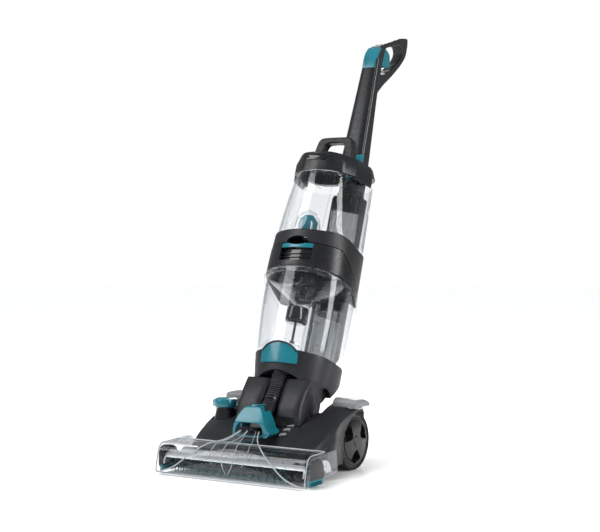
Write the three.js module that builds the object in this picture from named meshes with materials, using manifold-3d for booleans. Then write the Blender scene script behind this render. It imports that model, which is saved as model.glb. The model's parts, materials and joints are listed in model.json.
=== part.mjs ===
// Upright carpet cleaner machine: a wheeled base with two brush rolls under a clear nozzle, and a
// reclining upright that holds a dirty water tank, a clean water tank, a stem and a loop handle.
// Millimetres, +Z up. The machine faces -Y and stands on Z = 0; it leans back in its working stance.
import * as THREE from "three";
import { mergeVertices } from "three/addons/utils/BufferGeometryUtils.js";
import Module from "manifold-3d";

const wasm = await Module();
wasm.setup();

// ---------------------------------------------------------------- driving dimensions
const GAP = 0.4; // clearance between touching pieces
const WALL = 2.6; // moulded wall thickness

const NOZZLE_HALF_WIDTH = 187.5;
const ROLL_HALF_LENGTH = 168;
const ROLL_RADIUS = 21;
const ROLL_Z = 21.2;
const FRONT_ROLL_Y = 43;
const REAR_ROLL_Y = 93;

const PIVOT_Y = 189; // recline axis
const PIVOT_Z = 110;
const PIVOT_RADIUS = 45;
const MOTOR_Y = 148; // brush motor and pump line
const MOTOR_Z = 46;
const LEAN = THREE.MathUtils.degToRad(19.6);

const AXLE_Y = 272;
const WHEEL_RADIUS = 61;
const WHEEL_INNER_X = 108;
const WHEEL_OUTER_X = 145;

// Plan of the upright's body, in its own frame (origin at the pivot, z up the body).
const BODY_SHOULDER_Y = 25; // where the round front meets the sides
const BODY_SIDE_END_Y = 50;
const BODY_REAR_Y = 108;
const RIM_Z = 142; // top of the lower housing at the front
const LID_BOTTOM_Z = 315;
const LID_TOP_Z = 377; // at the front
const SLIDE_SLOPE = 0.104; // the dirty tank slides out forwards and up along this slope
const FRAME_TOP_Z = 407;
const FRAME_FOOT_Z = 313; // the frame's sloping foot, taken to the front
const CAP_BOTTOM_Z = 551;
const CAP_TOP_Z = 594;
const UPPER_HOOK_Z = 545;
const LOWER_HOOK_Z = 240;
const SPINE_HALF_WIDTH = 27;
const STEM_FRONT_Y = 97;

// ---------------------------------------------------------------- materials
function material(color, roughness, metalness = 0, opacity = 1) {
  return new THREE.MeshStandardMaterial({
    color, roughness, metalness, opacity, transparent: opacity < 1,
  });
}
const darkGrey = material(0x2c2d30, 0.5);
const black = material(0x121316, 0.3);
const teal = material(0x1f7480, 0.35);
const lightGrey = material(0x8d8f92, 0.6);
const silverGrey = material(0xa3a5a8, 0.35, 0.3);
const clear = material(0xdfe6e8, 0.1, 0, 0.3);
const smoke = material(0x6f7477, 0.2, 0, 0.5);
const steel = material(0xb8bbbf, 0.3, 1);
const rubber = material(0x1b1b1c, 0.85);

// ---------------------------------------------------------------- solids
// A closed three.js geometry as a manifold-3d solid with its faces pointing out.
function solid(geometry) {
  const bare = geometry.clone();
  bare.deleteAttribute("normal");
  bare.deleteAttribute("uv");
  const merged = mergeVertices(bare, 1e-3);
  const build = (triVerts) =>
    new wasm.Manifold(
      new wasm.Mesh({ numProp: 3, vertProperties: merged.attributes.position.array, triVerts }),
    );
  const triangles = new Uint32Array(merged.index.array);
  const made = build(triangles);
  return made.volume() > 0 ? made : build(triangles.reverse());
}

const join = (first, ...others) => others.reduce((sum, next) => sum.add(next), first);
const cut = (first, ...others) => others.reduce((rest, next) => rest.subtract(next), first);

function block(x0, x1, y0, y1, z0, z1) {
  return solid(
    new THREE.BoxGeometry(x1 - x0, y1 - y0, z1 - z0)
      .translate((x0 + x1) / 2, (y0 + y1) / 2, (z0 + z1) / 2),
  );
}

// Round bars along each axis; the two numbers before the sides are the centre's other coordinates.
function barX(radius, x0, x1, y, z, sides = 32, endRadius = radius) {
  const bar = new THREE.CylinderGeometry(radius, endRadius, x1 - x0, sides);
  return solid(bar.rotateZ(Math.PI / 2).translate((x0 + x1) / 2, y, z));
}
function barZ(radius, z0, z1, x, y, sides = 24, topRadius = radius) {
  const bar = new THREE.CylinderGeometry(topRadius, radius, z1 - z0, sides);
  return solid(bar.rotateX(Math.PI / 2).translate(x, y, (z0 + z1) / 2));
}

// A closed outline through [u, v, corner radius] points. A corner takes less than half of each side.
function outline(points) {
  const shape = new THREE.Shape();
  const count = points.length;
  points.forEach(([u, v, radius = 0], i) => {
    const corner = new THREE.Vector2(u, v);
    const towards = ([a, b]) => {
      const side = new THREE.Vector2(a, b).sub(corner);
      return side.setLength(Math.min(radius, 0.48 * side.length()));
    };
    const from = corner.clone().add(towards(points[(i + count - 1) % count]));
    const to = corner.clone().add(towards(points[(i + 1) % count]));
    if (i === 0) shape.moveTo(from.x, from.y);
    else shape.lineTo(from.x, from.y);
    if (radius > 0) shape.quadraticCurveTo(corner.x, corner.y, to.x, to.y);
  });
  shape.closePath();
  return shape;
}

function extruded(shape, depth, { steps = 1, curveSegments = 3, bevel = 0 } = {}) {
  return new THREE.ExtrudeGeometry(shape, {
    depth: depth - 2 * bevel, steps, curveSegments,
    bevelEnabled: bevel > 0, bevelThickness: bevel, bevelSize: bevel, bevelOffset: -bevel,
    bevelSegments: 2,
  }).translate(0, 0, bevel);
}

// Extrusions of an outline drawn in (X, Y), in (Y, Z) and in (X, Z).
function upright(shape, z0, z1, options) {
  return solid(extruded(shape, z1 - z0, options).translate(0, 0, z0));
}
function sideways(shape, x0, x1, options) {
  const turn = new THREE.Matrix4().makeBasis(
    new THREE.Vector3(0, 1, 0), new THREE.Vector3(0, 0, 1), new THREE.Vector3(1, 0, 0),
  );
  return solid(extruded(shape, x1 - x0, options).applyMatrix4(turn).translate(x0, 0, 0));
}
function frontways(shape, y0, y1, options) {
  const turn = new THREE.Matrix4().makeBasis(
    new THREE.Vector3(1, 0, 0), new THREE.Vector3(0, 0, 1), new THREE.Vector3(0, -1, 0),
  );
  return solid(extruded(shape, y1 - y0, options).applyMatrix4(turn).translate(0, y1, 0));
}

// A body of revolution about Z from [radius, z] points.
function turned(profile, segments = 32) {
  const points = profile.map(([radius, z]) => new THREE.Vector2(radius, z));
  return new THREE.LatheGeometry(points, segments).rotateX(Math.PI / 2);
}

// An oval tube whose width and height change along a curve in the plane X = 0.
function ovalTube(path, width, height, { sides = 16, steps = 6 } = {}) {
  const curve = new THREE.CatmullRomCurve3(path.map(([y, z]) => new THREE.Vector3(0, y, z)));
  const tube = new THREE.CylinderGeometry(1, 1, 1, sides, steps);
  const position = tube.attributes.position;
  for (let i = 0; i < position.count; i++) {
    const along = THREE.MathUtils.clamp(position.getY(i) + 0.5, 0, 1);
    const centre = curve.getPoint(along);
    const ahead = curve.getTangent(along);
    const side = position.getX(i) * width(along);
    const lift = position.getZ(i) * height(along);
    position.setXYZ(i, side, centre.y - ahead.z * lift, centre.z + ahead.y * lift);
  }
  return solid(tube);
}

const between = (start, end) => (along) => start + (end - start) * along;

function mirrored(made) {
  return made.mirror([1, 0, 0]);
}

// ---------------------------------------------------------------- the tree
const machine = new THREE.Group();
const base = new THREE.Group();
const body = new THREE.Group();
body.position.set(0, PIVOT_Y, PIVOT_Z);
body.rotation.x = -LEAN;
machine.add(base, body);

function add(group, name, made, look) {
  const { vertProperties, triVerts, numProp } = made.getMesh();
  const geometry = new THREE.BufferGeometry();
  const positions = new Float32Array((vertProperties.length / numProp) * 3);
  for (let i = 0; i < positions.length / 3; i++)
    positions.set(vertProperties.subarray(i * numProp, i * numProp + 3), i * 3);
  geometry.setAttribute("position", new THREE.BufferAttribute(positions, 3));
  geometry.setIndex(new THREE.BufferAttribute(new Uint32Array(triVerts), 1));
  const mesh = new THREE.Mesh(geometry, look);
  mesh.name = name;
  group.add(mesh);
}

function addPair(group, name, made, look) {
  add(group, `${name}_right`, made, look);
  add(group, `${name}_left`, mirrored(made), look);
}

// ---------------------------------------------------------------- base
const SHELL_FRONT_Y = 78;
const SHELL_REAR_Y = 326;
const SHELL_TOP = [
  [SHELL_FRONT_Y, 67, 6], [116, 92, 20], [172, 112, 20], [236, 136, 16],
  [296, 138, 20], [SHELL_REAR_Y, 112, 8],
];
const PEDAL_Z = 142; // underside of the pedals
const PORT_X = -124;
const PORT_Y = 172;
const ROLL_ROOF_Z = 54;
const ROLL_BAY_REAR_Y = 123;

function shellProfile(inset) {
  const top = SHELL_TOP.map(([y, z, r], i) => [
    y + (i === 0 ? inset : 0) - (i === SHELL_TOP.length - 1 ? inset : 0), z - inset, r,
  ]);
  return outline([
    [SHELL_REAR_Y - inset, inset > 0 ? -10 : 22], ...top.reverse(),
    [SHELL_FRONT_Y + inset, ROLL_ROOF_Z + inset],
    [ROLL_BAY_REAR_Y + inset, ROLL_ROOF_Z + inset], [ROLL_BAY_REAR_Y + inset, inset > 0 ? -10 : 22],
  ]);
}

function shellPlan(inset) {
  const half = [
    [148 - inset, SHELL_FRONT_Y + inset, 10], [164 - inset, 140, 20], [164 - inset, 210, 10],
    [152 - inset, 290, 20], [134 - inset, SHELL_REAR_Y - inset, 14],
  ];
  const left = half.map(([x, y, r]) => [-x, y, r]).reverse();
  return outline([...half, ...left]);
}

function makeBaseShell() {
  const side = NOZZLE_HALF_WIDTH;
  const outer = sideways(shellProfile(0), -side, side).intersect(upright(shellPlan(0), 0, 200));
  const inner = sideways(shellProfile(3), -side, side).intersect(upright(shellPlan(3), -20, 200));
  const wheelBay = barX(WHEEL_RADIUS + 6, WHEEL_INNER_X - 4, side, AXLE_Y, WHEEL_RADIUS, 36);
  const bayWall = barX(WHEEL_RADIUS + 9, WHEEL_INNER_X - 7, side, AXLE_Y, WHEEL_RADIUS, 36);
  const bayFront = AXLE_Y - WHEEL_RADIUS - 6;
  const belowBay = block(WHEEL_INNER_X - 4, side, bayFront, SHELL_REAR_Y + 5, -1, WHEEL_RADIUS);
  const bayWalls = join(bayWall, mirrored(bayWall)).intersect(outer);
  // The well behind the pivot is open, so that the upright can swing down between the wheels.
  const well = block(-100, 100, 202, SHELL_REAR_Y + 5, 76, 220);
  const wellWalls = block(-103, 103, 199, SHELL_REAR_Y, 73, 220).intersect(outer);
  const pivotPocket = barX(PIVOT_RADIUS + 2, -85, 85, PIVOT_Y, PIVOT_Z, 40);
  const pivotWalls = barX(PIVOT_RADIUS + 5, -88, 88, PIVOT_Y, PIVOT_Z, 40).intersect(outer);
  const duct = block(-24, 24, 100, 190, 84, 200);
  // A recess under each pedal leaves room for its travel.
  const pedalRecess = block(106, 190, 230, 300, PEDAL_Z - 9, 200);
  const recessWalls = block(103, 190, 227, 303, PEDAL_Z - 12, 200).add(
    block(101, 190, AXLE_Y, SHELL_REAR_Y, WHEEL_RADIUS, 200),
  );
  const walls = join(
    cut(outer, inner), bayWalls, wellWalls, pivotWalls, recessWalls.intersect(outer),
    mirrored(recessWalls).intersect(outer),
  );
  return cut(
    walls, wheelBay, mirrored(wheelBay), belowBay, mirrored(belowBay), well, pivotPocket, duct,
    pedalRecess, mirrored(pedalRecess),
    barX(4.4, -170, 170, AXLE_Y, WHEEL_RADIUS, 16),
    barZ(18 + GAP, 60, 140, PORT_X, PORT_Y, 28),
    block(139, 155, ROLL_BAY_REAR_Y - 5, ROLL_BAY_REAR_Y + 5, 10, 70),
  );
}

function makeBasePlate() {
  const plate = upright(
    outline([[98, 126], [98, 322], [-98, 322], [-98, 126]]), 14, 21.6,
  );
  const skids = [-1, 1].map((side) => block(side * 60 - 8, side * 60 + 8, 140, 300, 6, 14.5));
  const axleCradles = [-1, 1].map((side) => block(side * 90 - 5, side * 90 + 5, 260, 284, 21, 52));
  return join(plate, ...skids, ...axleCradles);
}

function makeBrushHousing() {
  const outer = join(
    barX(ROLL_RADIUS + 5, -174, 174, FRONT_ROLL_Y, ROLL_Z, 32),
    barX(ROLL_RADIUS + 5, -174, 174, REAR_ROLL_Y, ROLL_Z, 32),
    block(-174, 174, FRONT_ROLL_Y, REAR_ROLL_Y, ROLL_Z + 14, ROLL_Z + 20),
  );
  const inner = join(
    barX(ROLL_RADIUS + 3, -171.5, 171.5, FRONT_ROLL_Y, ROLL_Z, 32),
    barX(ROLL_RADIUS + 3, -171.5, 171.5, REAR_ROLL_Y, ROLL_Z, 32),
  );
  const below = block(-180, 180, 0, 140, -10, ROLL_Z);
  return cut(
    outer, inner, below,
    barX(5.5, -180, 180, FRONT_ROLL_Y, ROLL_Z, 16), barX(5.5, -180, 180, REAR_ROLL_Y, ROLL_Z, 16),
    block(138, 171, FRONT_ROLL_Y - 12, 140, ROLL_Z - 1, ROLL_Z + 40),
  );
}

function makeRollCore(y) {
  const journals = barX(5, -ROLL_HALF_LENGTH - 5, ROLL_HALF_LENGTH + 5, y, ROLL_Z, 16);
  const tube = barX(10, -ROLL_HALF_LENGTH + 3, 132, y, ROLL_Z, 20);
  const pulley = barX(11, 141, 166, y, ROLL_Z, 20);
  return join(journals, tube, pulley);
}

// Bristles: a sleeve with eight rows of tufts.
function makeBristles(y) {
  const rows = 8;
  const shape = new THREE.Shape();
  for (let i = 0; i < rows * 4; i++) {
    const radius = i % 4 < 2 ? ROLL_RADIUS : ROLL_RADIUS - 7;
    const angle = (i / (rows * 4)) * 2 * Math.PI;
    const place = [y + radius * Math.cos(angle), ROLL_Z + radius * Math.sin(angle)];
    if (i === 0) shape.moveTo(...place);
    else shape.lineTo(...place);
  }
  shape.closePath();
  return cut(sideways(shape, -ROLL_HALF_LENGTH + 6, 130), barX(10 + GAP, -180, 180, y, ROLL_Z, 20));
}

function makeBelt(y0, z0, r0, y1, z1, r1, x0, x1) {
  const loop = (grow) => {
    const angle = Math.atan2(z1 - z0, y1 - y0);
    const spread = Math.acos((r0 - r1) / Math.hypot(y1 - y0, z1 - z0));
    const shape = new THREE.Shape();
    shape.absarc(y0, z0, r0 + grow, angle + spread, angle - spread + 2 * Math.PI, false);
    shape.absarc(y1, z1, r1 + grow, angle - spread, angle + spread, false);
    shape.closePath();
    return shape;
  };
  return cut(
    sideways(loop(2.4), x0, x1, { curveSegments: 8 }),
    sideways(loop(0.4), x0 - 1, x1 + 1, { curveSegments: 8 }),
  );
}

const D_PLATE = [[18, 17], [18, 46, 10], [26, 57, 8], [52, 57, 10], [69, 46, 10], [69, 17]];

function coverProfile(inset, rear) {
  return outline([
    [4 + inset, 5 - inset * 4], [5 + inset, 18], [13 + inset, 52, 8], [22, 64 - inset, 8],
    [77, 66 - inset], [rear, 68 - inset], [rear + 5, 21 - inset], [64, 12 - inset * 6],
  ]);
}

function makeNozzleCover() {
  const half = NOZZLE_HALF_WIDTH;
  const whole = sideways(coverProfile(0, 118), -half, half);
  const hollow = sideways(coverProfile(WALL, 130), -half + WALL, half - WALL);
  const behind = block(-165.5, 165.5, SHELL_FRONT_Y - GAP, 200, -10, 100);
  const plates = sideways(outline(D_PLATE), -half - 5, half + 5);
  const plateRoom = plates.add(block(-half - 5, half + 5, 18, 69, -10, 20));
  return cut(whole, hollow, behind, plateRoom);
}

// The clear duct fans out from the hood's mouth to the full width of the front lip.
function makeSuctionDuct() {
  const path = new THREE.CatmullRomCurve3(
    [[2.3, 6], [3.2, 20], [9, 46], [24, 67], [52, 76], [84, 92]].map(([y, z]) => new THREE.Vector3(0, y, z)),
  );
  const plate = new THREE.BoxGeometry(1, 1, 1, 10, 12, 1);
  const position = plate.attributes.position;
  for (let i = 0; i < position.count; i++) {
    const along = THREE.MathUtils.clamp(position.getY(i) + 0.5, 0, 1);
    const across = position.getX(i) * 2;
    const halfWidth = 24 + 154 * (1 - along) ** 1.35;
    const rise = 5 * (1 - across ** 2) * THREE.MathUtils.clamp(4 * along - 0.68, 0, 1);
    const offset = rise + (position.getZ(i) > 0 ? 2.2 : 0);
    const centre = path.getPoint(along);
    const ahead = path.getTangent(along);
    const z = centre.z + ahead.y * offset;
    position.setXYZ(i, across * halfWidth, centre.y - ahead.z * offset, z);
  }
  return solid(plate);
}

function makeHood() {
  const front = outline([[-45, 82], [-43, 100, 4], [-31, 128, 8], [-16, 146, 6], [16, 146, 6], [31, 128, 8],
    [45, 100, 4], [56, 92, 2], [45, 82]]);
  const side = outline([[79, 80], [79, 112, 4], [96, 150, 14], [124, 150], [124, 80]]);
  const mouth = outline([[-28, 70], [-28, 98, 6], [-18, 114, 8], [18, 114, 8], [28, 98, 6], [28, 70]]);
  const hood = frontways(front, 76, 120).intersect(sideways(side, -80, 80));
  const roof = sideways(outline([[70, 60], [70, 100], [140, 128], [140, 60]]), -41, 41);
  const under = sideways(outline([[60, 60], [78, 68], [116, 93], [140, 101], [140, 60]]), -90, 90);
  const tunnelSide = [[88, 60], [88, 112, 6], [104, 140, 10], [112, 146, 3], [140, 146], [140, 60]];
  const tunnel = sideways(outline(tunnelSide), -24.5, 24.5);
  const space = roof.intersect(block(-41, 41, 84, 140, 0, 100));
  return cut(hood, frontways(mouth, 60, 90), tunnel, under, space);
}

function makeDuctElbow() {
  const path = [[110, 106], [130, 122], [150, 136], [166, 150], [176, 164]];
  const outer = ovalTube(path, between(22, 16), between(12, 16));
  return cut(outer, ovalTube(extend(path), between(19.5, 13.5), between(9.5, 13.5)));
}

// The same path, reaching a little past both ends.
function extend(path) {
  const past = ([ay, az], [by, bz]) => [ay + (ay - by) * 0.4, az + (az - bz) * 0.4];
  return [past(path[0], path[1]), ...path.slice(1, -1), past(path.at(-1), path.at(-2))];
}

// The flexible hose joins the elbow to the housing across the recline axis.
function makeSuctionHose() {
  const path = new THREE.CatmullRomCurve3(
    [[176.7, 165], [183, 175], [190, 187], [196, 198.6]].map(([y, z]) => new THREE.Vector3(0, y, z)),
  );
  const ring = new THREE.Shape().absarc(0, 0, 13.5, 0, 2 * Math.PI, false);
  ring.holes.push(new THREE.Path().absarc(0, 0, 11, 0, 2 * Math.PI, true));
  return solid(new THREE.ExtrudeGeometry(ring, { extrudePath: path, steps: 5, curveSegments: 8 }));
}

function makePivotHousing() {
  const barrel = barX(PIVOT_RADIUS, 27, 66, PIVOT_Y, PIVOT_Z, 40);
  return cut(barrel, barX(8.1, 20, 70, PIVOT_Y, PIVOT_Z, 20), barX(30, 34, 70, PIVOT_Y, PIVOT_Z, 32)
    .subtract(barX(14, 30, 72, PIVOT_Y, PIVOT_Z, 24)));
}

function makeWheelDisc() {
  const x0 = WHEEL_INNER_X + 2;
  const drum = barX(WHEEL_RADIUS - 5, x0, WHEEL_OUTER_X - 5, AXLE_Y, WHEEL_RADIUS, 28);
  const dome = barX(WHEEL_RADIUS - 20, WHEEL_OUTER_X - 6, WHEEL_OUTER_X, AXLE_Y, WHEEL_RADIUS, 28);
  const pockets = [0, 1, 2].map((i) => {
    const angle = (i * 2 * Math.PI) / 3 + 0.5;
    const point = (r, a) => [AXLE_Y + r * Math.cos(angle + a), WHEEL_RADIUS + r * Math.sin(angle + a), 3];
    return sideways(outline([point(20, 0), point(46, 0.42), point(46, -0.42)]), x0 + 16, WHEEL_OUTER_X + 5);
  });
  const backHollow = barX(WHEEL_RADIUS - 10, x0 - 1, x0 + 12, AXLE_Y, WHEEL_RADIUS, 28)
    .subtract(barX(14, x0 - 2, x0 + 13, AXLE_Y, WHEEL_RADIUS, 24));
  const bore = barX(5.1, 90, WHEEL_OUTER_X - 12, AXLE_Y, WHEEL_RADIUS, 20);
  return cut(join(drum, dome), ...pockets, backHollow, bore);
}

function makeTyre() {
  const [x0, x1] = [WHEEL_INNER_X, WHEEL_OUTER_X - 4];
  const profile = [
    [WHEEL_RADIUS - 4.6, x0], [WHEEL_RADIUS - 3, x0], [WHEEL_RADIUS, x0 + 4], [WHEEL_RADIUS, x1 - 4],
    [WHEEL_RADIUS - 3, x1], [WHEEL_RADIUS - 4.6, x1], [WHEEL_RADIUS - 4.6, x0],
  ];
  return solid(turned(profile, 32).rotateY(Math.PI / 2).translate(0, AXLE_Y, WHEEL_RADIUS));
}

function makePedal() {
  const side = outline([
    [234, PEDAL_Z], [234, PEDAL_Z + 6, 3], [246, PEDAL_Z + 11, 5],
    [284, PEDAL_Z + 10, 5], [292, PEDAL_Z + 4, 3],
    [292, PEDAL_Z],
  ]);
  return sideways(side, 110, 166).intersect(
    frontways(outline([[108, 130], [108, 160], [112, 155, 3], [166, 148, 3], [166, 130]]), 220, 300),
  );
}

function addBase() {
  add(base, "base_shell", makeBaseShell(), darkGrey);
  add(base, "base_plate", makeBasePlate(), black);
  add(base, "brush_housing", makeBrushHousing(), silverGrey);
  [["front", FRONT_ROLL_Y], ["rear", REAR_ROLL_Y]].forEach(([place, y]) => {
    add(base, `${place}_roll_core`, makeRollCore(y), black);
    add(base, `${place}_bristles`, makeBristles(y), teal);
  });
  add(base, "drive_belt", makeBelt(REAR_ROLL_Y, ROLL_Z, 11, MOTOR_Y, MOTOR_Z, 9, 142, 152), rubber);
  add(base, "roll_belt", makeBelt(FRONT_ROLL_Y, ROLL_Z, 11, REAR_ROLL_Y, ROLL_Z, 11, 154, 164), rubber);
  add(base, "brush_motor", join(
    barX(20.5, -26, 128, MOTOR_Y, MOTOR_Z, 28), barX(4, 120, 131, MOTOR_Y, MOTOR_Z, 16),
    block(-10, 118, MOTOR_Y - 12, MOTOR_Y + 12, 22, 30),
  ), steel);
  add(base, "motor_pulley", barX(9, 132, 153, MOTOR_Y, MOTOR_Z, 20), steel);
  addPair(base, "side_plate", sideways(outline(D_PLATE), 175, NOZZLE_HALF_WIDTH).intersect(
    sideways(outline([[18.4, 17.4], [18.4, 70], [68.6, 70], [68.6, 17.4]]), 170, 190)), darkGrey);
  addPair(base, "edge_brush", block(176, 187, 19, 68, 4, 17), teal);
  add(base, "nozzle_cover", makeNozzleCover(), clear);
  add(base, "suction_duct", makeSuctionDuct(), clear);
  add(base, "nozzle_latch", makeHood(), teal);
  add(base, "duct_elbow", makeDuctElbow(), darkGrey);
  add(base, "suction_hose", makeSuctionHose(), black);
  addPair(base, "pivot_housing", makePivotHousing(), darkGrey);
  add(base, "pivot_shaft", barX(8, -82, 82, PIVOT_Y, PIVOT_Z, 20), steel);
  add(base, "rear_axle", barX(4, -130, 130, AXLE_Y, WHEEL_RADIUS, 16), steel);
  addPair(base, "wheel", makeWheelDisc(), darkGrey);
  addPair(base, "tyre", makeTyre(), rubber);
  addPair(base, "pedal", makePedal(), lightGrey);
  add(base, "hose_port", cut(
    barZ(18, 96, 127, PORT_X, PORT_Y, 28), barZ(15, 90, 130, PORT_X, PORT_Y, 24)), black);
  add(base, "port_cap", join(
    barZ(23, 128, 141, PORT_X, PORT_Y, 28, 19),
    block(PORT_X - 12, PORT_X + 12, PORT_Y + 16, PORT_Y + 28, 129, 138),
  ), teal);
  add(base, "spray_bar", block(-60, 60, 66, 72, 52, 58).add(barX(3, -100, 100, 69, 55, 12)), black);
  const pump = join(barX(17, -110, -60, MOTOR_Y, MOTOR_Z, 24), block(-60.5, -36, 134, 164, 30, 60));
  add(base, "solution_pump", pump, black);
}

// ---------------------------------------------------------------- upright body
// The body is widest near its middle and slimmer at both ends.
const bodyHalfWidth = (z) => 112 - 3.15e-4 * (z - 320) ** 2;
const bodyFrontY = (z) => -56 + 2.1e-4 * (z - 350) ** 2;

// A solid slice of the body between two heights, grown or shrunk by an inset.
function slice(z0, z1, inset = 0, steps = Math.max(1, Math.round((z1 - z0) / 45)), rearInset = inset) {
  const shape = new THREE.Shape();
  shape.moveTo(-1, 0);
  shape.absellipse(0, 0, 1, 1, Math.PI, 2 * Math.PI, false);
  shape.lineTo(1, 1);
  shape.quadraticCurveTo(1, 2, 0.5, 2);
  shape.lineTo(-0.5, 2);
  shape.quadraticCurveTo(-1, 2, -1, 1);
  const made = extruded(shape, z1 - z0, { steps, curveSegments: 9 }).translate(0, 0, z0);
  const position = made.attributes.position;
  for (let i = 0; i < position.count; i++) {
    const z = position.getZ(i);
    const halfWidth = bodyHalfWidth(z) - inset;
    const v = position.getY(i);
    let y = BODY_SHOULDER_Y + v * (BODY_SHOULDER_Y - bodyFrontY(z) - inset);
    if (v > 0) y = BODY_SHOULDER_Y + v * (BODY_SIDE_END_Y - BODY_SHOULDER_Y);
    if (v > 1) y = BODY_SIDE_END_Y + (v - 1) * (BODY_REAR_Y - rearInset - BODY_SIDE_END_Y);
    position.setXYZ(i, position.getX(i) * halfWidth, y, z);
  }
  return solid(made);
}

// The height at y of a plane that drops towards the rear from a height at the shell's front.
const FRONT_Y = -58;
const sloped = (frontZ, y) => frontZ - SLIDE_SLOPE * (y - FRONT_Y);

// Everything below the housing's rim, which drops towards the rear.
function belowRim(offset) {
  return sideways(
    outline([
      [-90, -120], [160, -120],
      [160, sloped(RIM_Z, 160) + offset], [-90, sloped(RIM_Z, -90) + offset],
    ]),
    -150, 150,
  );
}

// Everything ahead of the slanted seam between the tank lid and the frame.
function aheadOfSeam(offset) {
  const top = LID_TOP_Z - offset;
  return sideways(outline([
    [-90, sloped(top, -90)], [-13 - offset, sloped(top, -13)], [47 - offset, 302], [70 - offset, 275],
    [70 - offset, 200], [-90, 200],
  ]), -150, 150);
}

const MOTOR_ROOM_TOP_Z = 116;

function makeLowerHousing() {
  const shell = slice(46, 146, 0, 3).intersect(belowRim(0));
  const motorRoom = slice(50, MOTOR_ROOM_TOP_Z, 6, 2).intersect(block(-88, 88, 4, 100, 40, MOTOR_ROOM_TOP_Z));
  const rearCut = sideways(outline([[34, 20], [34, 44], [122, 142], [160, 142], [160, 20]]), -120, 120);
  const arch = new THREE.Shape();
  arch.moveTo(-66, 30);
  arch.absellipse(0, 46, 66, 49, Math.PI, 0, true);
  arch.lineTo(66, 30);
  arch.closePath();
  const tunnel = frontways(arch, -80, 8, { curveSegments: 16 });
  const vent = block(-40, 40, 20, 60, 40, 56);
  const lug = join(barX(34, 68, 80, 0, 0, 32), block(68, 80, -26, 30, 4, 60));
  const lugs = join(lug, mirrored(lug));
  const bearing = barX(8.1, -90, 90, 0, 0, 20);
  return cut(join(cut(shell, motorRoom, rearCut, tunnel), lugs), vent, bearing);
}

function makeSpine() {
  const column = block(-SPINE_HALF_WIDTH, SPINE_HALF_WIDTH, 109.8, 140, 132, 559);
  const slope = sideways(outline([[100, 100], [100, 132], [109.8, 132], [150, 180], [160, 100]]), -40, 40);
  const inner = SPINE_HALF_WIDTH - 4;
  const bridge = [LOWER_HOOK_Z - 18, LOWER_HOOK_Z + 12];
  const hollows = [[190, bridge[0]], [bridge[1], 536]].map(
    ([low, high]) => block(-inner, inner, 114, 150, low, high),
  );
  return cut(column, slope, ...hollows);
}

function makeMidFrame() {
  const ring = slice(292, FRAME_TOP_Z, -1.2, 3);
  const hollow = slice(280, FRAME_TOP_Z - 6, 5, 3);
  const lowerEdge = sideways(
    outline([
      [30, 280], [130, 280], [130, sloped(FRAME_FOOT_Z, 130)], [30, sloped(FRAME_FOOT_Z, 30)],
    ]), -150, 150,
  );
  const pull = frontways(outline([[-29, 379, 6], [-29, 391, 6], [29, 391, 6], [29, 379, 6]]), -80, -44);
  return cut(
    ring, aheadOfSeam(-GAP), lowerEdge, hollow, pull, barZ(11, 390, FRAME_TOP_Z + 5, 0, -22, 20),
  );
}

function makeLid() {
  const band = slice(298, LID_TOP_Z + 4, -2, 3).intersect(aheadOfSeam(0));
  const lowerEdge = sideways(
    outline([
      [-90, 200], [120, 200], [120, 303.4], [46, 303.4], [10, 306], [-90, LID_BOTTOM_Z + 3],
    ]), -150, 150,
  );
  const hollow = slice(290, LID_TOP_Z - 4, 6, 2);
  const window = frontways(outline([[-41, 337, 3], [-41, 380], [41, 380], [41, 337, 3]]), -90, -38);
  return cut(band, lowerEdge, hollow, window);
}

function makeDirtyTank() {
  const outer = slice(116, LID_BOTTOM_Z + 2, 0, 5).subtract(belowRim(GAP));
  const topEdge = sideways(
    outline([
      [-90, 400], [130, 400], [130, sloped(FRAME_FOOT_Z, 130) - GAP], [44, sloped(FRAME_FOOT_Z, 44) - GAP],
      [10, 305.5], [-90, LID_BOTTOM_Z + 2.5],
    ]), -150, 150,
  );
  const inner = slice(110, 330, WALL, 5).subtract(belowRim(GAP + WALL));
  return cut(outer, inner, topEdge);
}

function makeCone() {
  const outer = turned([[0, 296], [60, 296], [34, 262], [14, 252], [0, 252]], 28).translate(0, 18, 0);
  const inner = turned([[0, 300], [57, 300], [57, 297], [31.5, 264], [0, 256]], 28).translate(0, 18, 0);
  const made = cut(solid(outer), solid(inner));
  return cut(made.intersect(slice(240, 320, 10, 2)), barZ(15, 200, 400, 0, 60, 24));
}

function makeSeparator() {
  const drum = turned([[0, 358], [28, 358], [28, 332], [24, 330], [24, 300], [20, 290], [0, 266]], 24);
  return solid(drum.translate(0, 18, 0));
}

function makeTankLatch() {
  const arch = new THREE.Shape();
  arch.moveTo(-46, 111);
  arch.lineTo(46, 111);
  arch.lineTo(46, 128);
  arch.absellipse(0, 128, 46, 28, 0, Math.PI, false);
  arch.closePath();
  const skin = slice(104, 160, -4.5, 1).subtract(slice(100, 164, -0.9, 1));
  return skin.intersect(frontways(arch, -80, -10, { curveSegments: 12 }));
}

function makeCleanTank() {
  const outer = slice(FRAME_TOP_Z + GAP, CAP_BOTTOM_Z - GAP, 0, 3);
  const inner = slice(FRAME_TOP_Z + GAP + WALL, CAP_BOTTOM_Z + 5, WALL, 3);
  return cut(outer, inner, barZ(6 + GAP, FRAME_TOP_Z - 10, FRAME_TOP_Z + 6, 0, -22, 20));
}

function capPlan(inset) {
  const half = [
    [0, -45 + inset], [34, -41 + inset, 10], [67 - inset, -24 + inset, 3], [91 - inset, 7, 3],
    [93 - inset, 60, 3], [84 - inset, 84, 3], [60 - inset, 104 - inset, 8],
  ];
  const left = half.slice(1).map(([x, y, r]) => [-x, y, r]).reverse();
  return outline([...half, ...left]);
}

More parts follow.
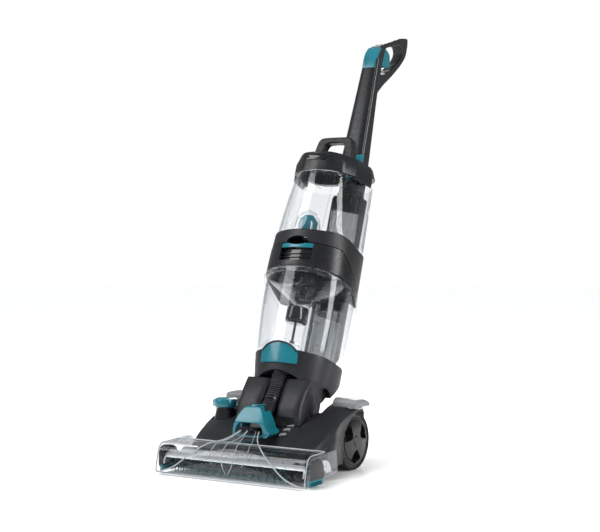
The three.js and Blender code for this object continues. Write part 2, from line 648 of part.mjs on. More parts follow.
function makeCap() {
  const whole = upright(capPlan(0), CAP_BOTTOM_Z - 6, CAP_TOP_Z);
  const skirt = block(-120, 120, -80, 4, CAP_BOTTOM_Z - 20, CAP_BOTTOM_Z);
  const sideStep = block(-120, 120, 60, 130, CAP_BOTTOM_Z - 20, CAP_BOTTOM_Z + 18);
  const inside = upright(capPlan(4), CAP_BOTTOM_Z - 30, CAP_TOP_Z - 4);
  const under = slice(CAP_BOTTOM_Z - 30, CAP_BOTTOM_Z, -GAP, 1);
  return cut(whole, skirt, sideStep, inside, under, block(-20, 20, 76, 120, CAP_TOP_Z - 14, CAP_TOP_Z + 5));
}

function makeCarryHandle() {
  const arch = outline([
    [-50, CAP_TOP_Z + GAP], [-50, 636, 20], [-30, 655, 16],
    [30, 655, 16], [50, 636, 20], [50, CAP_TOP_Z + GAP],
    [34, CAP_TOP_Z + GAP], [34, 630, 12], [24, 639, 8],
    [-24, 639, 8], [-34, 630, 12], [-34, CAP_TOP_Z + GAP],
  ]);
  return frontways(arch, 28, 52, { bevel: 4 });
}

// A column whose section changes between stations, made smaller by an inset.
function stemColumn(inset) {
  const at = (z, half, front, rear) => ({ z, half: half - inset, front: front + inset, rear: rear - inset });
  const ends = [
    at(560, 27, 110, 140), at(600, 27, 110, 139), at(620, 27, STEM_FRONT_Y, 137), at(900, 17, 100, 126),
  ];
  const shape = outline([[-1, 0, 0.25], [1, 0, 0.25], [1, 1, 0.2], [-1, 1, 0.2]]);
  const column = extruded(shape, 340, { steps: 17, curveSegments: 2 });
  const position = column.attributes.position;
  for (let i = 0; i < position.count; i++) {
    const z = ends[0].z + position.getZ(i);
    const above = Math.max(1, ends.findIndex((end) => end.z >= z - 0.01));
    const [low, high] = [ends[above - 1], ends[above]];
    const along = (z - low.z) / (high.z - low.z);
    const mix = (key) => low[key] + (high[key] - low[key]) * along;
    const y = mix("front") + position.getY(i) * (mix("rear") - mix("front"));
    position.setXYZ(i, position.getX(i) * mix("half"), y, z);
  }
  return solid(column);
}

function makeStem() {
  const bore = stemColumn(3.5).intersect(block(-40, 40, 80, 150, 540, 890));
  return cut(stemColumn(0), bore, block(-40, 40, 80, 150, 540, 576));
}

// Loop handle: a thick top arm, a rounded rear corner and an arm that returns to the stem.
function makeHandleGrip() {
  const outer = outline([
    [101, 900 + GAP], [92, 908, 3], [103, 932, 14], [214, 1012, 16], [240, 1017, 8], [263, 1006, 10],
    [266, 966, 16], [212, 888, 30], [162, 860, 24], [136, 816, 12], [131.5, 800], [127.6, 900 + GAP],
  ]);
  const hole = outline([
    [152, 876, 4], [170, 888, 12], [222, 948, 16], [212, 974, 14], [196, 972, 10], [152, 934, 10],
  ]);
  outer.holes.push(hole);
  const triggerSlot = block(-9, 9, 128, 160, 900, 938);
  return cut(sideways(outer, -16, 16), triggerSlot);
}

function makeTrigger() {
  return sideways(
    outline([[136, 903], [134, 935, 3], [156, 936, 3], [170, 934, 4], [176, 910, 5], [158, 902, 4]]), -8, 8,
  );
}

const FAN_Y = 34;

function makeSuctionMotor() {
  const side = [[0, 74], [25, 74], [28, 78], [28, 106], [12, 109], [12, 115], [0, 115]];
  return solid(turned(side, 28).translate(0, FAN_Y, 0));
}

function makeSuctionFan() {
  const hub = barZ(7, 62, 73.4, 0, FAN_Y, 16);
  const disc = barZ(25, 62, 64, 0, FAN_Y, 28);
  const blades = [0, 1, 2, 3, 4, 5, 6].map((i) => {
    const blade = new THREE.BoxGeometry(18, 1.6, 7).translate(15, 0, 67.4).rotateZ((i * 2 * Math.PI) / 7);
    return solid(blade.translate(0, FAN_Y, 0));
  });
  return join(hub, disc, ...blades);
}

function makeCordHook(z, direction) {
  const root = 140 + GAP;
  const inside = z + 7 * direction;
  const tip = z + 22 * direction;
  const arm = [[root, z], [170, z], [170, tip], [164, tip], [164, inside], [root, inside]];
  return sideways(outline(arm), -9, 9);
}

function addBody() {
  add(body, "lower_housing", makeLowerHousing(), darkGrey);
  add(body, "spine", makeSpine(), black);
  add(body, "mid_frame", makeMidFrame(), darkGrey);
  add(body, "stem", makeStem(), darkGrey);
  add(body, "handle_grip", makeHandleGrip(), darkGrey);
  const panel = outline([[93, 872], [90, 898, 4], [91, 906, 2], [97.5, 899], [98.7, 872]]);
  add(body, "handle_panel", sideways(panel, -14, 14), teal);
  add(body, "trigger", makeTrigger(), teal);
  add(body, "suction_motor", makeSuctionMotor(), steel);
  add(body, "suction_fan", makeSuctionFan(), black);
  add(body, "dirty_tank", makeDirtyTank(), clear);
  add(body, "dirty_tank_lid", makeLid(), darkGrey);
  add(body, "cyclone_cone", makeCone(), smoke);
  add(body, "separator", makeSeparator(), black);
  add(body, "riser_tube", cut(barZ(14, 136, 328, 0, 60, 24), barZ(11.5, 100, 340, 0, 60, 24)), clear);
  add(body, "float", join(barZ(24, 207, 247, 0, -2, 28), barZ(3, 165, 210, 0, -2, 12)), black);
  add(body, "tank_latch", makeTankLatch(), teal);
  add(body, "grip_lever", block(-40, 40, -53, -40, 366, 374.5), teal);
  add(body, "clean_tank", makeCleanTank(), clear);
  add(body, "clean_tank_cap", makeCap(), darkGrey);
  const badge = outline([[-23, 575, 6], [-23, 589, 6], [23, 589, 6], [23, 575, 6]]);
  add(body, "tank_badge", frontways(badge, -48, -45.4), black);
  add(body, "carry_handle", makeCarryHandle(), black);
  add(body, "filler_plug", barZ(12, CAP_TOP_Z + GAP, CAP_TOP_Z + 18, 0, 66, 20, 10), black);
  add(body, "tank_button", block(-17, 17, 79, 94, CAP_TOP_Z - 10, CAP_TOP_Z + 16), teal);
  const valve = turned([[0, 403], [6, 403], [6, 411], [17, 414], [19, 430], [12, 446], [0, 450]], 24);
  add(body, "tank_valve", solid(valve.translate(0, -22, 0)), teal);
  add(body, "upper_cord_hook", makeCordHook(UPPER_HOOK_Z, 1), black);
  add(body, "lower_cord_hook", makeCordHook(LOWER_HOOK_Z, -1), black);
}

addBase();
addBody();

// The origin is the middle of the machine's footprint box, on the floor.
const box = new THREE.Box3().setFromObject(machine, true);
machine.position.y = -(box.min.y + box.max.y) / 2;
const group = new THREE.Group();
group.add(machine);

export default group;
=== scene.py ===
"""Looks for an upright carpet cleaner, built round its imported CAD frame.

Pieces are made in millimetres, in one of two local frames. The base frame has Y = 0 at the nozzle's
front edge and Z = 0 on the floor. The body frame has its origin on the recline axis and its z axis up
the leaning upright. Both become metres in the row's own frame when a piece is placed.
"""
import json
import math
import random

import bmesh
import bpy
from mathutils import Matrix, Vector


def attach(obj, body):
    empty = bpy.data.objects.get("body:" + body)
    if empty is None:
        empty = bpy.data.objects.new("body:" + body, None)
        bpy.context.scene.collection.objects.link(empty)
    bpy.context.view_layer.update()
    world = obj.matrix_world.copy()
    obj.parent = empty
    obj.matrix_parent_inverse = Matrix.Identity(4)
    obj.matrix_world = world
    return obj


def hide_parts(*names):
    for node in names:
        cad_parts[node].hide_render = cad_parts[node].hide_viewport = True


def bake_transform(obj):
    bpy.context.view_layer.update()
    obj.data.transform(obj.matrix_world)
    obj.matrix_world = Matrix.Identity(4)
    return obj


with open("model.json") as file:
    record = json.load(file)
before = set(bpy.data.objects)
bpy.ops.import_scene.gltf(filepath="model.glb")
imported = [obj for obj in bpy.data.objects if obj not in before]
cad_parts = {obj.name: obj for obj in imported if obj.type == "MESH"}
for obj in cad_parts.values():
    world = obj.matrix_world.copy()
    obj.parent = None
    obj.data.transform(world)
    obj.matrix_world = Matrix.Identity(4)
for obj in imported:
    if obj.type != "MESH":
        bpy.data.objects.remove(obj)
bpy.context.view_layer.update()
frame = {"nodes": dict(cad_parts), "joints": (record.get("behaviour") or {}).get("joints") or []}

JOINTS = {joint["name"]: joint for joint in frame["joints"]}
PIVOT = Vector(JOINTS["recline"]["pos_m"])
LEAN = math.radians(-JOINTS["recline"]["range_deg"][0])
MM = 0.001
PIVOT_Y = 189
PIVOT_Z = PIVOT.z / MM
BASE = Matrix.Translation((0, PIVOT.y - PIVOT_Y * MM, 0)) @ Matrix.Scale(MM, 4)
BODY = Matrix.Translation(PIVOT) @ Matrix.Rotation(-LEAN, 4, "X") @ Matrix.Scale(MM, 4)

# Driving dimensions, in millimetres
NOZZLE_HALF_WIDTH = 187.5
HOSE_RIBS = 14
BARREL_RADIUS = 36
UPPER_HOOK_Z = 545
LOWER_HOOK_Z = 240
ROLL_Z = 21.2
ROLL_RADIUS = 21
FRONT_ROLL_Y = 43
REAR_ROLL_Y = 93
AXLE_Y = 272
WHEEL_RADIUS = 61
PORT_X = -124
PORT_Y = 172
GAP = 0.5
WALL = 2.6
FRONT_Y = -58
SLIDE_SLOPE = 0.104
RIM_Z = 142
LID_TOP_Z = 377
FRAME_FOOT_Z = 313
FRAME_TOP_Z = 407
CAP_BOTTOM_Z = 551
CAP_TOP_Z = 594
NOSE_Y = 25
CONE_Y = 12
SHOULDER_X = 106
SHOULDER_Y = 90
REAR_Y = 108
FLOAT_Y = -2
SEPARATOR_Y = 18
VALVE_X = -6
VALVE_Y = -17
TANK_INSET = 2.5
LID_REAR_Y = 85


# ---------------------------------------------------------------- mesh tools
def make_object(name, points, faces):
    mesh = bpy.data.meshes.new(name)
    mesh.from_pydata([tuple(point) for point in points], [], faces)
    mesh.validate()
    work = bmesh.new()
    work.from_mesh(mesh)
    bmesh.ops.recalc_face_normals(work, faces=work.faces)
    work.to_mesh(mesh)
    work.free()
    piece = bpy.data.objects.new(name, mesh)
    bpy.context.scene.collection.objects.link(piece)
    return piece


def apply_modifiers(piece):
    graph = bpy.context.evaluated_depsgraph_get()
    mesh = bpy.data.meshes.new_from_object(piece.evaluated_get(graph))
    piece.modifiers.clear()
    old = piece.data
    piece.data = mesh
    bpy.data.meshes.remove(old)
    return piece


def combine(piece, operation, cutters):
    for cutter in cutters:
        modifier = piece.modifiers.new("combine", "BOOLEAN")
        modifier.operation = operation
        modifier.solver = "EXACT"
        modifier.object = cutter
        apply_modifiers(piece)
        bpy.data.objects.remove(cutter)
    return piece


def cut(piece, *cutters):
    return combine(piece, "DIFFERENCE", cutters)


def join(piece, *others):
    return combine(piece, "UNION", others)


def intersect(piece, *others):
    return combine(piece, "INTERSECT", others)


def bevel(piece, width, segments=3, angle=32):
    modifier = piece.modifiers.new("bevel", "BEVEL")
    modifier.width = width
    modifier.segments = segments
    modifier.limit_method = "ANGLE"
    modifier.angle_limit = math.radians(angle)
    modifier.miter_outer = "MITER_ARC"
    return apply_modifiers(piece)


def moulded(piece, voxel, rounds=6, keep=1.0):
    """Rounds every edge and corner the way a moulding has them, by a fine remesh and smoothing."""
    modifier = piece.modifiers.new("remesh", "REMESH")
    modifier.mode = "VOXEL"
    modifier.voxel_size = voxel
    modifier.adaptivity = 0
    apply_modifiers(piece)
    modifier = piece.modifiers.new("smooth", "SMOOTH")
    modifier.factor = 0.5
    modifier.iterations = rounds
    apply_modifiers(piece)
    if keep < 1:
        modifier = piece.modifiers.new("decimate", "DECIMATE")
        modifier.ratio = keep
        apply_modifiers(piece)
    return piece


def mirror_copy(piece, name):
    copy = piece.copy()
    copy.data = piece.data.copy()
    copy.name = name
    bpy.context.scene.collection.objects.link(copy)
    copy.data.transform(Matrix.Scale(-1, 4, (1, 0, 0)))
    copy.data.flip_normals()
    return copy


def merged(name, pieces):
    """One object holding several separate solids."""
    work = bmesh.new()
    for piece in pieces:
        work.from_mesh(piece.data)
        bpy.data.objects.remove(piece)
    mesh = bpy.data.meshes.new(name)
    work.to_mesh(mesh)
    work.free()
    made = bpy.data.objects.new(name, mesh)
    bpy.context.scene.collection.objects.link(made)
    return made


def rounded(corners, steps=6):
    """A closed outline through [u, v, corner radius] points."""
    points = []
    count = len(corners)
    for i, corner in enumerate(corners):
        centre = Vector(corner[:2])
        radius = corner[2] if len(corner) > 2 else 0
        if not radius:
            points.append(centre)
            continue
        ends = []
        for other in (corners[i - 1], corners[(i + 1) % count]):
            side = Vector(other[:2]) - centre
            ends.append(centre + side.normalized() * min(radius, 0.48 * side.length))
        for k in range(steps + 1):
            t = k / steps
            points.append(ends[0].lerp(centre, t).lerp(centre.lerp(ends[1], t), t))
    return points


def arc(centre_u, centre_v, radius_u, radius_v, start, end, steps=32):
    angles = [math.radians(start + (end - start) * k / steps) for k in range(steps + 1)]
    return [Vector((centre_u + radius_u * math.cos(a), centre_v + radius_v * math.sin(a)))
            for a in angles]


def loft(name, rings, ends=True):
    """A skin over rings that all have the same number of points."""
    count = len(rings[0])
    points = [point for ring in rings for point in ring]
    faces = []
    for i in range(len(rings) - 1):
        for j in range(count):
            k = (j + 1) % count
            faces.append((i * count + j, i * count + k, (i + 1) * count + k, (i + 1) * count + j))
    if ends:
        faces.append(tuple(range(count)))
        faces.append(tuple(range((len(rings) - 1) * count, len(rings) * count)))
    return make_object(name, points, faces)


def welded(piece, distance):
    """Joins the points that lie within a distance of each other."""
    work = bmesh.new()
    work.from_mesh(piece.data)
    bmesh.ops.remove_doubles(work, verts=work.verts, dist=distance)
    bmesh.ops.recalc_face_normals(work, faces=work.faces)
    work.to_mesh(piece.data)
    work.free()
    return piece


def closed_loft(name, rings):
    """Rings that run round and meet, as on a wall with two faces and two rims."""
    return welded(loft(name, [*rings, rings[0]], ends=False), 1e-5)


AXIS_PLACES = {
    "X": lambda u, v, along: (along, u, v),
    "Y": lambda u, v, along: (u, along, v),
    "Z": lambda u, v, along: (u, v, along),
}


def prism(name, outline, start, end, axis, cuts=1):
    """An outline drawn in the plane across an axis, extruded along it."""
    place = AXIS_PLACES[axis]
    stations = [start + (end - start) * i / cuts for i in range(cuts + 1)]
    return loft(name, [[place(u, v, along) for u, v in outline] for along in stations])


def block(x0, x1, y0, y1, z0, z1):
    return prism("block", [(x0, y0), (x1, y0), (x1, y1), (x0, y1)], z0, z1, "Z")


def bar(name, radius, start, end, u, v, axis, sides=64, end_radius=None):
    last = radius if end_radius is None else end_radius
    place = AXIS_PLACES[axis]
    rings = [
        [place(p.x, p.y, along) for p in arc(u, v, r, r, 0, 360, sides)[:-1]]
        for along, r in ((start, radius), (end, last))
    ]
    return loft(name, rings)


def lathe(name, profile, u, v, axis, sides=72):
    """A solid of revolution from (radius, along) points that close on themselves or on the axis."""
    place = AXIS_PLACES[axis]
    rings = []
    for radius, along in profile:
        around = arc(u, v, max(radius, 1e-4), max(radius, 1e-4), 0, 360, sides)[:-1]
        rings.append([place(p.x, p.y, along) for p in around])
    if profile[0] == profile[-1]:
        return welded(loft(name, rings, ends=False), 1e-5)
    return welded(loft(name, rings), 1e-3)


def spline(points, samples):
    """A smooth curve through the points, with its ends on the first and last."""
    knots = [Vector(p) for p in points]
    padded = [2 * knots[0] - knots[1], *knots, 2 * knots[-1] - knots[-2]]
    curve = []
    for i in range(samples + 1):
        t = i / samples * (len(knots) - 1)
        k = min(int(t), len(knots) - 2)
        f = t - k
        a, b, c, d = padded[k:k + 4]
        curve.append(0.5 * (2 * b + (c - a) * f + (2 * a - 5 * b + 4 * c - d) * f ** 2
                            + (3 * b - a - 3 * c + d) * f ** 3))
    return curve


def tube(name, path, radius, sides=12):
    """A round bar along a path; radius is a number or a function of 0..1 along it."""
    size = radius if callable(radius) else (lambda along: radius)
    count = len(path)
    rings = []
    normal = None
    for i, point in enumerate(path):
        before = path[max(i - 1, 0)]
        after = path[min(i + 1, count - 1)]
        ahead = (Vector(after) - Vector(before)).normalized()
        if normal is None:
            normal = ahead.orthogonal().normalized()
            if abs(ahead.x) < 0.9:
                normal = (Vector((1, 0, 0)) - ahead * ahead.x).normalized()
        normal = (normal - ahead * normal.dot(ahead)).normalized()
        across = ahead.cross(normal)
        r = size(i / (count - 1))
        rings.append([
            Vector(point) + normal * (r * math.cos(a)) + across * (r * math.sin(a))
            for a in (2 * math.pi * k / sides for k in range(sides))
        ])
    return loft(name, rings)


# ---------------------------------------------------------------- placing
def smooth(piece, angle=35):
    for polygon in piece.data.polygons:
        polygon.use_smooth = True
    piece.data.set_sharp_from_angle(angle=math.radians(angle))


def place(piece, name, where, body, look, slot, replaces=(), angle=35):
    """Gives a finished piece its name, its place in the row's frame, its body and its looks."""
    piece.name = name
    piece.data.name = name
    piece.data.transform(where)
    smooth(piece, angle)
    piece.data.materials.clear()
    piece.data.materials.append(look)
    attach(piece, body)
    if replaces:
        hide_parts(*replaces)
    return piece


def place_pair(piece, name, body, look, slot, nodes=(), angle=35):
    """Places a right-hand piece of the base and its mirror image; {} stands for the side."""
    for side, made in (("left", mirror_copy(piece, "left")), ("right", piece)):
        place(made, name.format(side), BASE, body.format(side), look, slot,
              [node.format(side) for node in nodes], angle)


# ---------------------------------------------------------------- materials
def linear(red, green, blue):
    """An 8-bit display colour as linear RGBA."""
    return (*(((c / 255 + 0.055) / 1.055) ** 2.4 if c > 10 else c / 255 / 12.92
              for c in (red, green, blue)), 1)


class Graph:
    """A material's node tree, with short calls to add and link nodes."""

    def __init__(self, name):
        self.material = bpy.data.materials.new(name)
        self.material.use_nodes = True
        self.tree = self.material.node_tree
        self.tree.nodes.clear()
        self.output = self.add("ShaderNodeOutputMaterial")
        self.object_place = self.add("ShaderNodeTexCoord").outputs["Object"]

    def add(self, kind, **settings):
        node = self.tree.nodes.new(kind)
        for key, value in settings.items():
            if key in node.inputs:
                node.inputs[key].default_value = value
            else:
                setattr(node, key, value)
        return node

    def link(self, source, node, socket):
        self.tree.links.new(source, node.inputs[socket])

    def noise(self, size_mm, detail=3.0, stretch=(1, 1, 1)):
        """Noise whose features are about size_mm across."""
        mapping = self.add("ShaderNodeMapping")
        mapping.inputs["Scale"].default_value = stretch
        self.link(self.object_place, mapping, "Vector")
        node = self.add("ShaderNodeTexNoise", Scale=1000 / size_mm, Detail=detail)
        self.link(mapping.outputs[0], node, "Vector")
        return node.outputs["Fac"]

    def ranged(self, value, low, high, from_low=0.3, from_high=0.7):
        node = self.add("ShaderNodeMapRange")
        limits = {"From Min": from_low, "From Max": from_high, "To Min": low, "To Max": high}
        for socket, number in limits.items():
            node.inputs[socket].default_value = number
        self.link(value, node, "Value")
        return node.outputs["Result"]

    def mixed(self, factor, first, second):
        node = self.add("ShaderNodeMix", data_type="RGBA")
        self.link(factor, node, "Factor")
        node.inputs[6].default_value = first
        if isinstance(second, tuple):
            node.inputs[7].default_value = second
        else:
            self.tree.links.new(second, node.inputs[7])
        return node.outputs[2]

    def bump(self, height, strength, distance_mm):
        node = self.add("ShaderNodeBump", Strength=strength, Distance=distance_mm * MM)
        self.link(height, node, "Height")
        return node.outputs["Normal"]


def shade(color, factor):
    return (*(min(1, c * factor) for c in color[:3]), 1)


def plastic(name, color, roughness, grain_mm=0.6, grain=0.12, coat=0.0, metal=0.0, wear=1.5,
            streak=(1, 1, 1)):
    """Moulded plastic: fine spark-eroded grain, slight clouding, rubbed lighter edges."""
    graph = Graph(name)
    shader = graph.add("ShaderNodeBsdfPrincipled", Metallic=metal)
    shader.inputs["Coat Weight"].default_value = coat
    shader.inputs["Coat Roughness"].default_value = 0.06
    clouds = graph.ranged(graph.noise(45, 4, streak), 0, 1)
    body = graph.mixed(clouds, shade(color, 0.86), shade(color, 1.14))
    edge = graph.ranged(graph.add("ShaderNodeNewGeometry").outputs["Pointiness"], 0, 0.55, 0.53, 0.62)
    rubbed = graph.add("ShaderNodeMix", data_type="RGBA")
    graph.link(edge, rubbed, "Factor")
    graph.tree.links.new(body, rubbed.inputs[6])
    rubbed.inputs[7].default_value = shade(color, wear)
    graph.link(rubbed.outputs[2], shader, "Base Color")
    graph.link(graph.ranged(graph.noise(9, 5), roughness * 0.85, roughness * 1.18), shader, "Roughness")
    graph.link(graph.bump(graph.noise(grain_mm, 2), grain, 0.06), shader, "Normal")
    graph.link(shader.outputs[0], graph.output, "Surface")
    return graph.material


def clear(name, face_tint, edge_tint, gloss=0.05, haze=0.02, wave=0.06):
    """A clear moulding: see-through face on, darker and more reflective at a grazing view."""
    graph = Graph(name)
    window = graph.add("ShaderNodeBsdfTransparent")
    sheen = graph.add("ShaderNodeBsdfPrincipled", IOR=1.5, Metallic=1.0)
    sheen.inputs["Base Color"].default_value = (0.95, 0.97, 0.98, 1)
    graph.link(graph.ranged(graph.noise(14, 3), haze * 0.5, haze * 1.6), sheen, "Roughness")
    waves = graph.bump(graph.noise(26, 1), wave, 0.5)
    graph.link(waves, sheen, "Normal")
    facing = graph.add("ShaderNodeLayerWeight", Blend=0.5)
    graph.link(waves, facing, "Normal")
    graph.link(graph.mixed(graph.ranged(facing.outputs["Facing"], 0, 1, 0.7, 1.0), face_tint, edge_tint),
               window, "Color")
    steep = graph.add("ShaderNodeMath", operation="POWER")
    steep.inputs[1].default_value = 4.0
    graph.link(facing.outputs["Facing"], steep, 0)
    mix = graph.add("ShaderNodeMixShader")
    graph.link(graph.ranged(steep.outputs[0], gloss, 0.85, 0, 1), mix, 0)
    graph.link(window.outputs[0], mix, 1)
    graph.link(sheen.outputs[0], mix, 2)
    graph.link(mix.outputs[0], graph.output, "Surface")
    return graph.material


def floor_material():
    graph = Graph("pale_floor")
    shader = graph.add("ShaderNodeBsdfPrincipled")
    shader.inputs["Specular IOR Level"].default_value = 0.2
    tone = graph.ranged(graph.noise(400, 3), 0, 1)
    graph.link(graph.mixed(tone, (0.95, 0.95, 0.95, 1), (0.97, 0.97, 0.97, 1)), shader, "Base Color")
    graph.link(graph.ranged(graph.noise(60, 3), 0.5, 0.6), shader, "Roughness")
    graph.link(shader.outputs[0], graph.output, "Surface")
    return graph.material


DARK = plastic("dark_grey_plastic", linear(25, 26, 29), 0.4, grain_mm=0.5, grain=0.16)
SATIN = plastic("satin_black_plastic", linear(21, 22, 25), 0.28, grain_mm=0.7, grain=0.06, wear=1.35)
GLOSS = plastic("gloss_black_plastic", linear(13, 14, 15), 0.14, grain_mm=2.0, grain=0.02, coat=0.5,
                wear=1.3)
BLACK = plastic("matt_black_plastic", linear(12, 12, 13), 0.4, grain_mm=0.8, grain=0.08, wear=1.3)
# Pale grey opaque plastic for the ribs and rails of the clear mouldings: a painted highlight standing in
# for the bright lines that light draws along clear edges.
PAINTED_HIGHLIGHT_EDGE = plastic("clear_edge_painted_highlight", linear(150, 156, 160), 0.12, grain_mm=3.0, grain=0.02,
                     coat=0.6, wear=1.1)
TEXTURED = plastic("textured_grip", linear(38, 39, 42), 0.62, grain_mm=1.1, grain=0.75)
TEAL = plastic("teal_plastic", linear(12, 102, 116), 0.22, grain_mm=0.8, grain=0.05, coat=0.35, wear=1.2)
TEAL_DEEP = plastic("deep_teal_plastic", linear(16, 88, 98), 0.26, grain_mm=0.8, grain=0.05, coat=0.3,
                    wear=1.2)
PALE = plastic("pale_grey_plastic", linear(118, 120, 123), 0.38, grain_mm=0.6, grain=0.1, wear=1.1)
SILVER = plastic("silver_plastic", linear(172, 175, 178), 0.3, grain_mm=1.2, grain=0.06, metal=0.55,
                 wear=1.1, streak=(0.15, 1, 1))
STEEL = plastic("machined_steel", linear(176, 178, 182), 0.28, grain_mm=0.4, grain=0.15, metal=1.0,
                wear=1.1, streak=(0.1, 1, 1))
RUBBER = plastic("tyre_rubber", linear(22, 22, 23), 0.7, grain_mm=0.4, grain=0.4, wear=1.6)
HOSE = plastic("hose_rubber", linear(66, 66, 70), 0.24, grain_mm=0.4, grain=0.1, wear=1.9)
BRISTLE = plastic("teal_bristles", linear(20, 108, 120), 0.5, grain_mm=0.3, grain=0.3, wear=1.5)
BRISTLE_DARK = plastic("dark_bristles", linear(20, 34, 38), 0.5, grain_mm=0.3, grain=0.3, wear=1.5)
CLEAR = clear("clear_tank_plastic", (0.975, 0.98, 0.985, 1), (0.72, 0.74, 0.76, 1), gloss=0.03)
NOZZLE_CLEAR = clear("clear_nozzle_plastic", (0.985, 0.988, 0.99, 1), (0.5, 0.53, 0.55, 1), gloss=0.02,
                     wave=0.06)
SMOKE = clear("smoky_plastic", (0.8, 0.81, 0.82, 1), (0.35, 0.36, 0.37, 1), gloss=0.07, haze=0.06,
              wave=0.2)


# ---------------------------------------------------------------- upright: shared sections
def body_half_width(z):
    return 104.2 - 4.0e-4 * (z - 290) ** 2


def body_front(z):
    return -56 + 2.1e-4 * (z - 350) ** 2


def sloped(front_z, y):
    """The height at y of a plane that drops towards the rear from front_z at the body's front."""
    return front_z - SLIDE_SLOPE * (y - FRONT_Y)


def section(z, inset=0.0, rear_inset=None):
    """The upright's round-fronted cross-section as (x, y) points, fullest at its rear shoulders."""
    half = body_half_width(z) - inset
    shoulder = SHOULDER_X - inset
    front = body_front(z) + inset
    rear = REAR_Y - (inset if rear_inset is None else rear_inset)
    points = [Vector((p.x, p.y)) for p in arc(0, NOSE_Y, half, NOSE_Y - front, 180, 360, 60)]
    for side in (1, -1):
        start = Vector((side * half, NOSE_Y))
        corner = Vector((side * shoulder, SHOULDER_Y))
        end = Vector((side * shoulder / 2, rear))
        bend = [start.lerp(corner, t).lerp(corner.lerp(end, t), t) for t in (k / 14 for k in range(15))]
        points += bend if side > 0 else bend[::-1]
    return points


def ring_at(height, inset=0.0, rear_inset=None):
    """A ring of the body's section on a surface z = height(y); height may be a number."""
    if not callable(height):
        return [(p.x, p.y, height) for p in section(height, inset, rear_inset)]
    ring = []
    count = len(section(0))
    for i in range(count):
        z = height(0)
        for _ in range(4):
            p = section(z, inset, rear_inset)[i]
            z = height(p.y)
        ring.append((p.x, p.y, z))
    return ring


def between(low, high, share):
    """The surface a share of the way from one height to another."""
    low_at = low if callable(low) else (lambda y: low)
    high_at = high if callable(high) else (lambda y: high)
    return lambda y: low_at(y) + (high_at(y) - low_at(y)) * share


def body_solid(name, low, high, inset=0.0, steps=10, rear_inset=None):
    return loft(name, [ring_at(between(low, high, i / steps), inset, rear_inset)
                       for i in range(steps + 1)])


def rim(y):
    return sloped(RIM_Z, y)


def lid_top(y):
    return sloped(LID_TOP_Z, y)


def frame_foot(y):
    return sloped(FRAME_FOOT_Z, y)


def lid_low(y):
    """The lid's lower edge falls away faster and faster towards the rear, then runs level."""
    back = min(72, max(0, y))
    return 312 - 0.224 * min(72, y) - 0.0045 * back ** 2


def seam_prism(offset):
    """Everything ahead of the slanted seam between the tank's lid and the frame."""
    top = LID_TOP_Z - offset
    corners = [(-95, sloped(top, -95)), (-13 - offset, sloped(top, -13)),
               (47 - offset, frame_foot(47) - offset),
               (LID_REAR_Y - offset, frame_foot(LID_REAR_Y) - offset),
               (LID_REAR_Y - offset, 200), (-95, 200)]
    return prism("seam", corners, -150, 150, "X")


# ---------------------------------------------------------------- upright: housing, latch and tank
def make_lower_housing():
    """A cowl with a wavy lower edge: a high arch over the hose and a smaller one at each side."""
    cowl = body_solid("cowl", 46, rim, steps=14)
    front_half = [(0, 95), (30, 90), (55, 78), (75, 66), (88, 59), (104, 57), (130, 57)]
    wave = spline([(-x, z, 0) for x, z in front_half[:0:-1]] + [(x, z, 0) for x, z in front_half], 60)
    front_arch = [(-130, 20), *[(p.x, p.y) for p in wave], (130, 20)]
    cut(cowl, prism("front_arch", front_arch, -90, 4, "Y"))
    side_arch = [(3, 20, 0), (3, 56, 5), (14, 70, 8), (28, 78, 8), (42, 70, 8), (52, 54, 8), (54, 20, 0)]
    for low, high in ((78, 130), (-130, -78)):
        cut(cowl, prism("side_arch", rounded(side_arch, 4), low, high, "X"))
    rear = [(34, 20), (34, 44), (122, 142), (160, 142), (160, 20)]
    cut(cowl, prism("rear", rear, -120, 120, "X"))
    cut(cowl, block(-32, 32, 5.5, 64, 58, 116))
    bevel(cowl, 1.6, 3)
    cut(cowl, block(-24, 24, 20, 48, 40, 60))
    place(cowl, "housing_cowl", BODY, "upright", DARK, "grey_plastic", ["lower_housing"])


def make_neck():
    """Two swelling forms over the pivot barrels, carried on arms outside them and a drum between them."""
    side_view = rounded([(-47, -6, 0.5), (-48, 18, 10), (-41, 48, 14), (-28, 80, 1), (33, 80, 1),
                         (33, 20, 1), (46, 0, 12), (33, -33, 12), (0, -46, 14), (-33, -33, 12)], 6)
    halves = []
    for side in (1, -1):
        rings = []
        for step in range(17):
            along = 2 * step / 16 - 1
            shrink = 1 - 0.2 * (1 - math.sqrt(max(0.0, 1 - along ** 4 * 0.96)))
            x = side * (50.5 + 30.5 * along)
            rings.append([(x, p.x * shrink, p.y * shrink if p.y < 40 else p.y) for p in side_view])
        halves.append(loft("half", rings))
    neck = join(halves[0], halves[1])
    cut(neck, bar("room", BARREL_RADIUS + 1.3, -67.2, 67.2, 0, 0, "X", 96))
    drum = bar("drum", 30, -25.8, 25.8, 0, 0, "X", 72)
    neck = join(neck, drum, block(-25.8, 25.8, 6, 29, 0, 60))
    cut(neck, block(-20, 20, -60, 3, 31, 90), bar("bearing", 8.3, -90, 90, 0, 0, "X", 48))
    bevel(neck, 1.0, 3, 50)
    place(neck, "pivot_neck", BODY, "upright", DARK, "grey_plastic", angle=50)


def latch_outline(grow):
    half = 46 + grow
    top = arc(0, 128, half, 28 + grow, 0, 180, 48)
    return [(-half, 109 - grow), (half, 109 - grow), *[(p.x, p.y) for p in top]]


def front_skin(name, low, high, outer, inner):
    """A thin slice of the body's front between two insets."""
    skin = body_solid(name, low, high, inset=outer)
    return cut(skin, body_solid("inside", low - 3, high + 3, inset=inner),
               block(-150, 150, 0, 150, 0, 500))


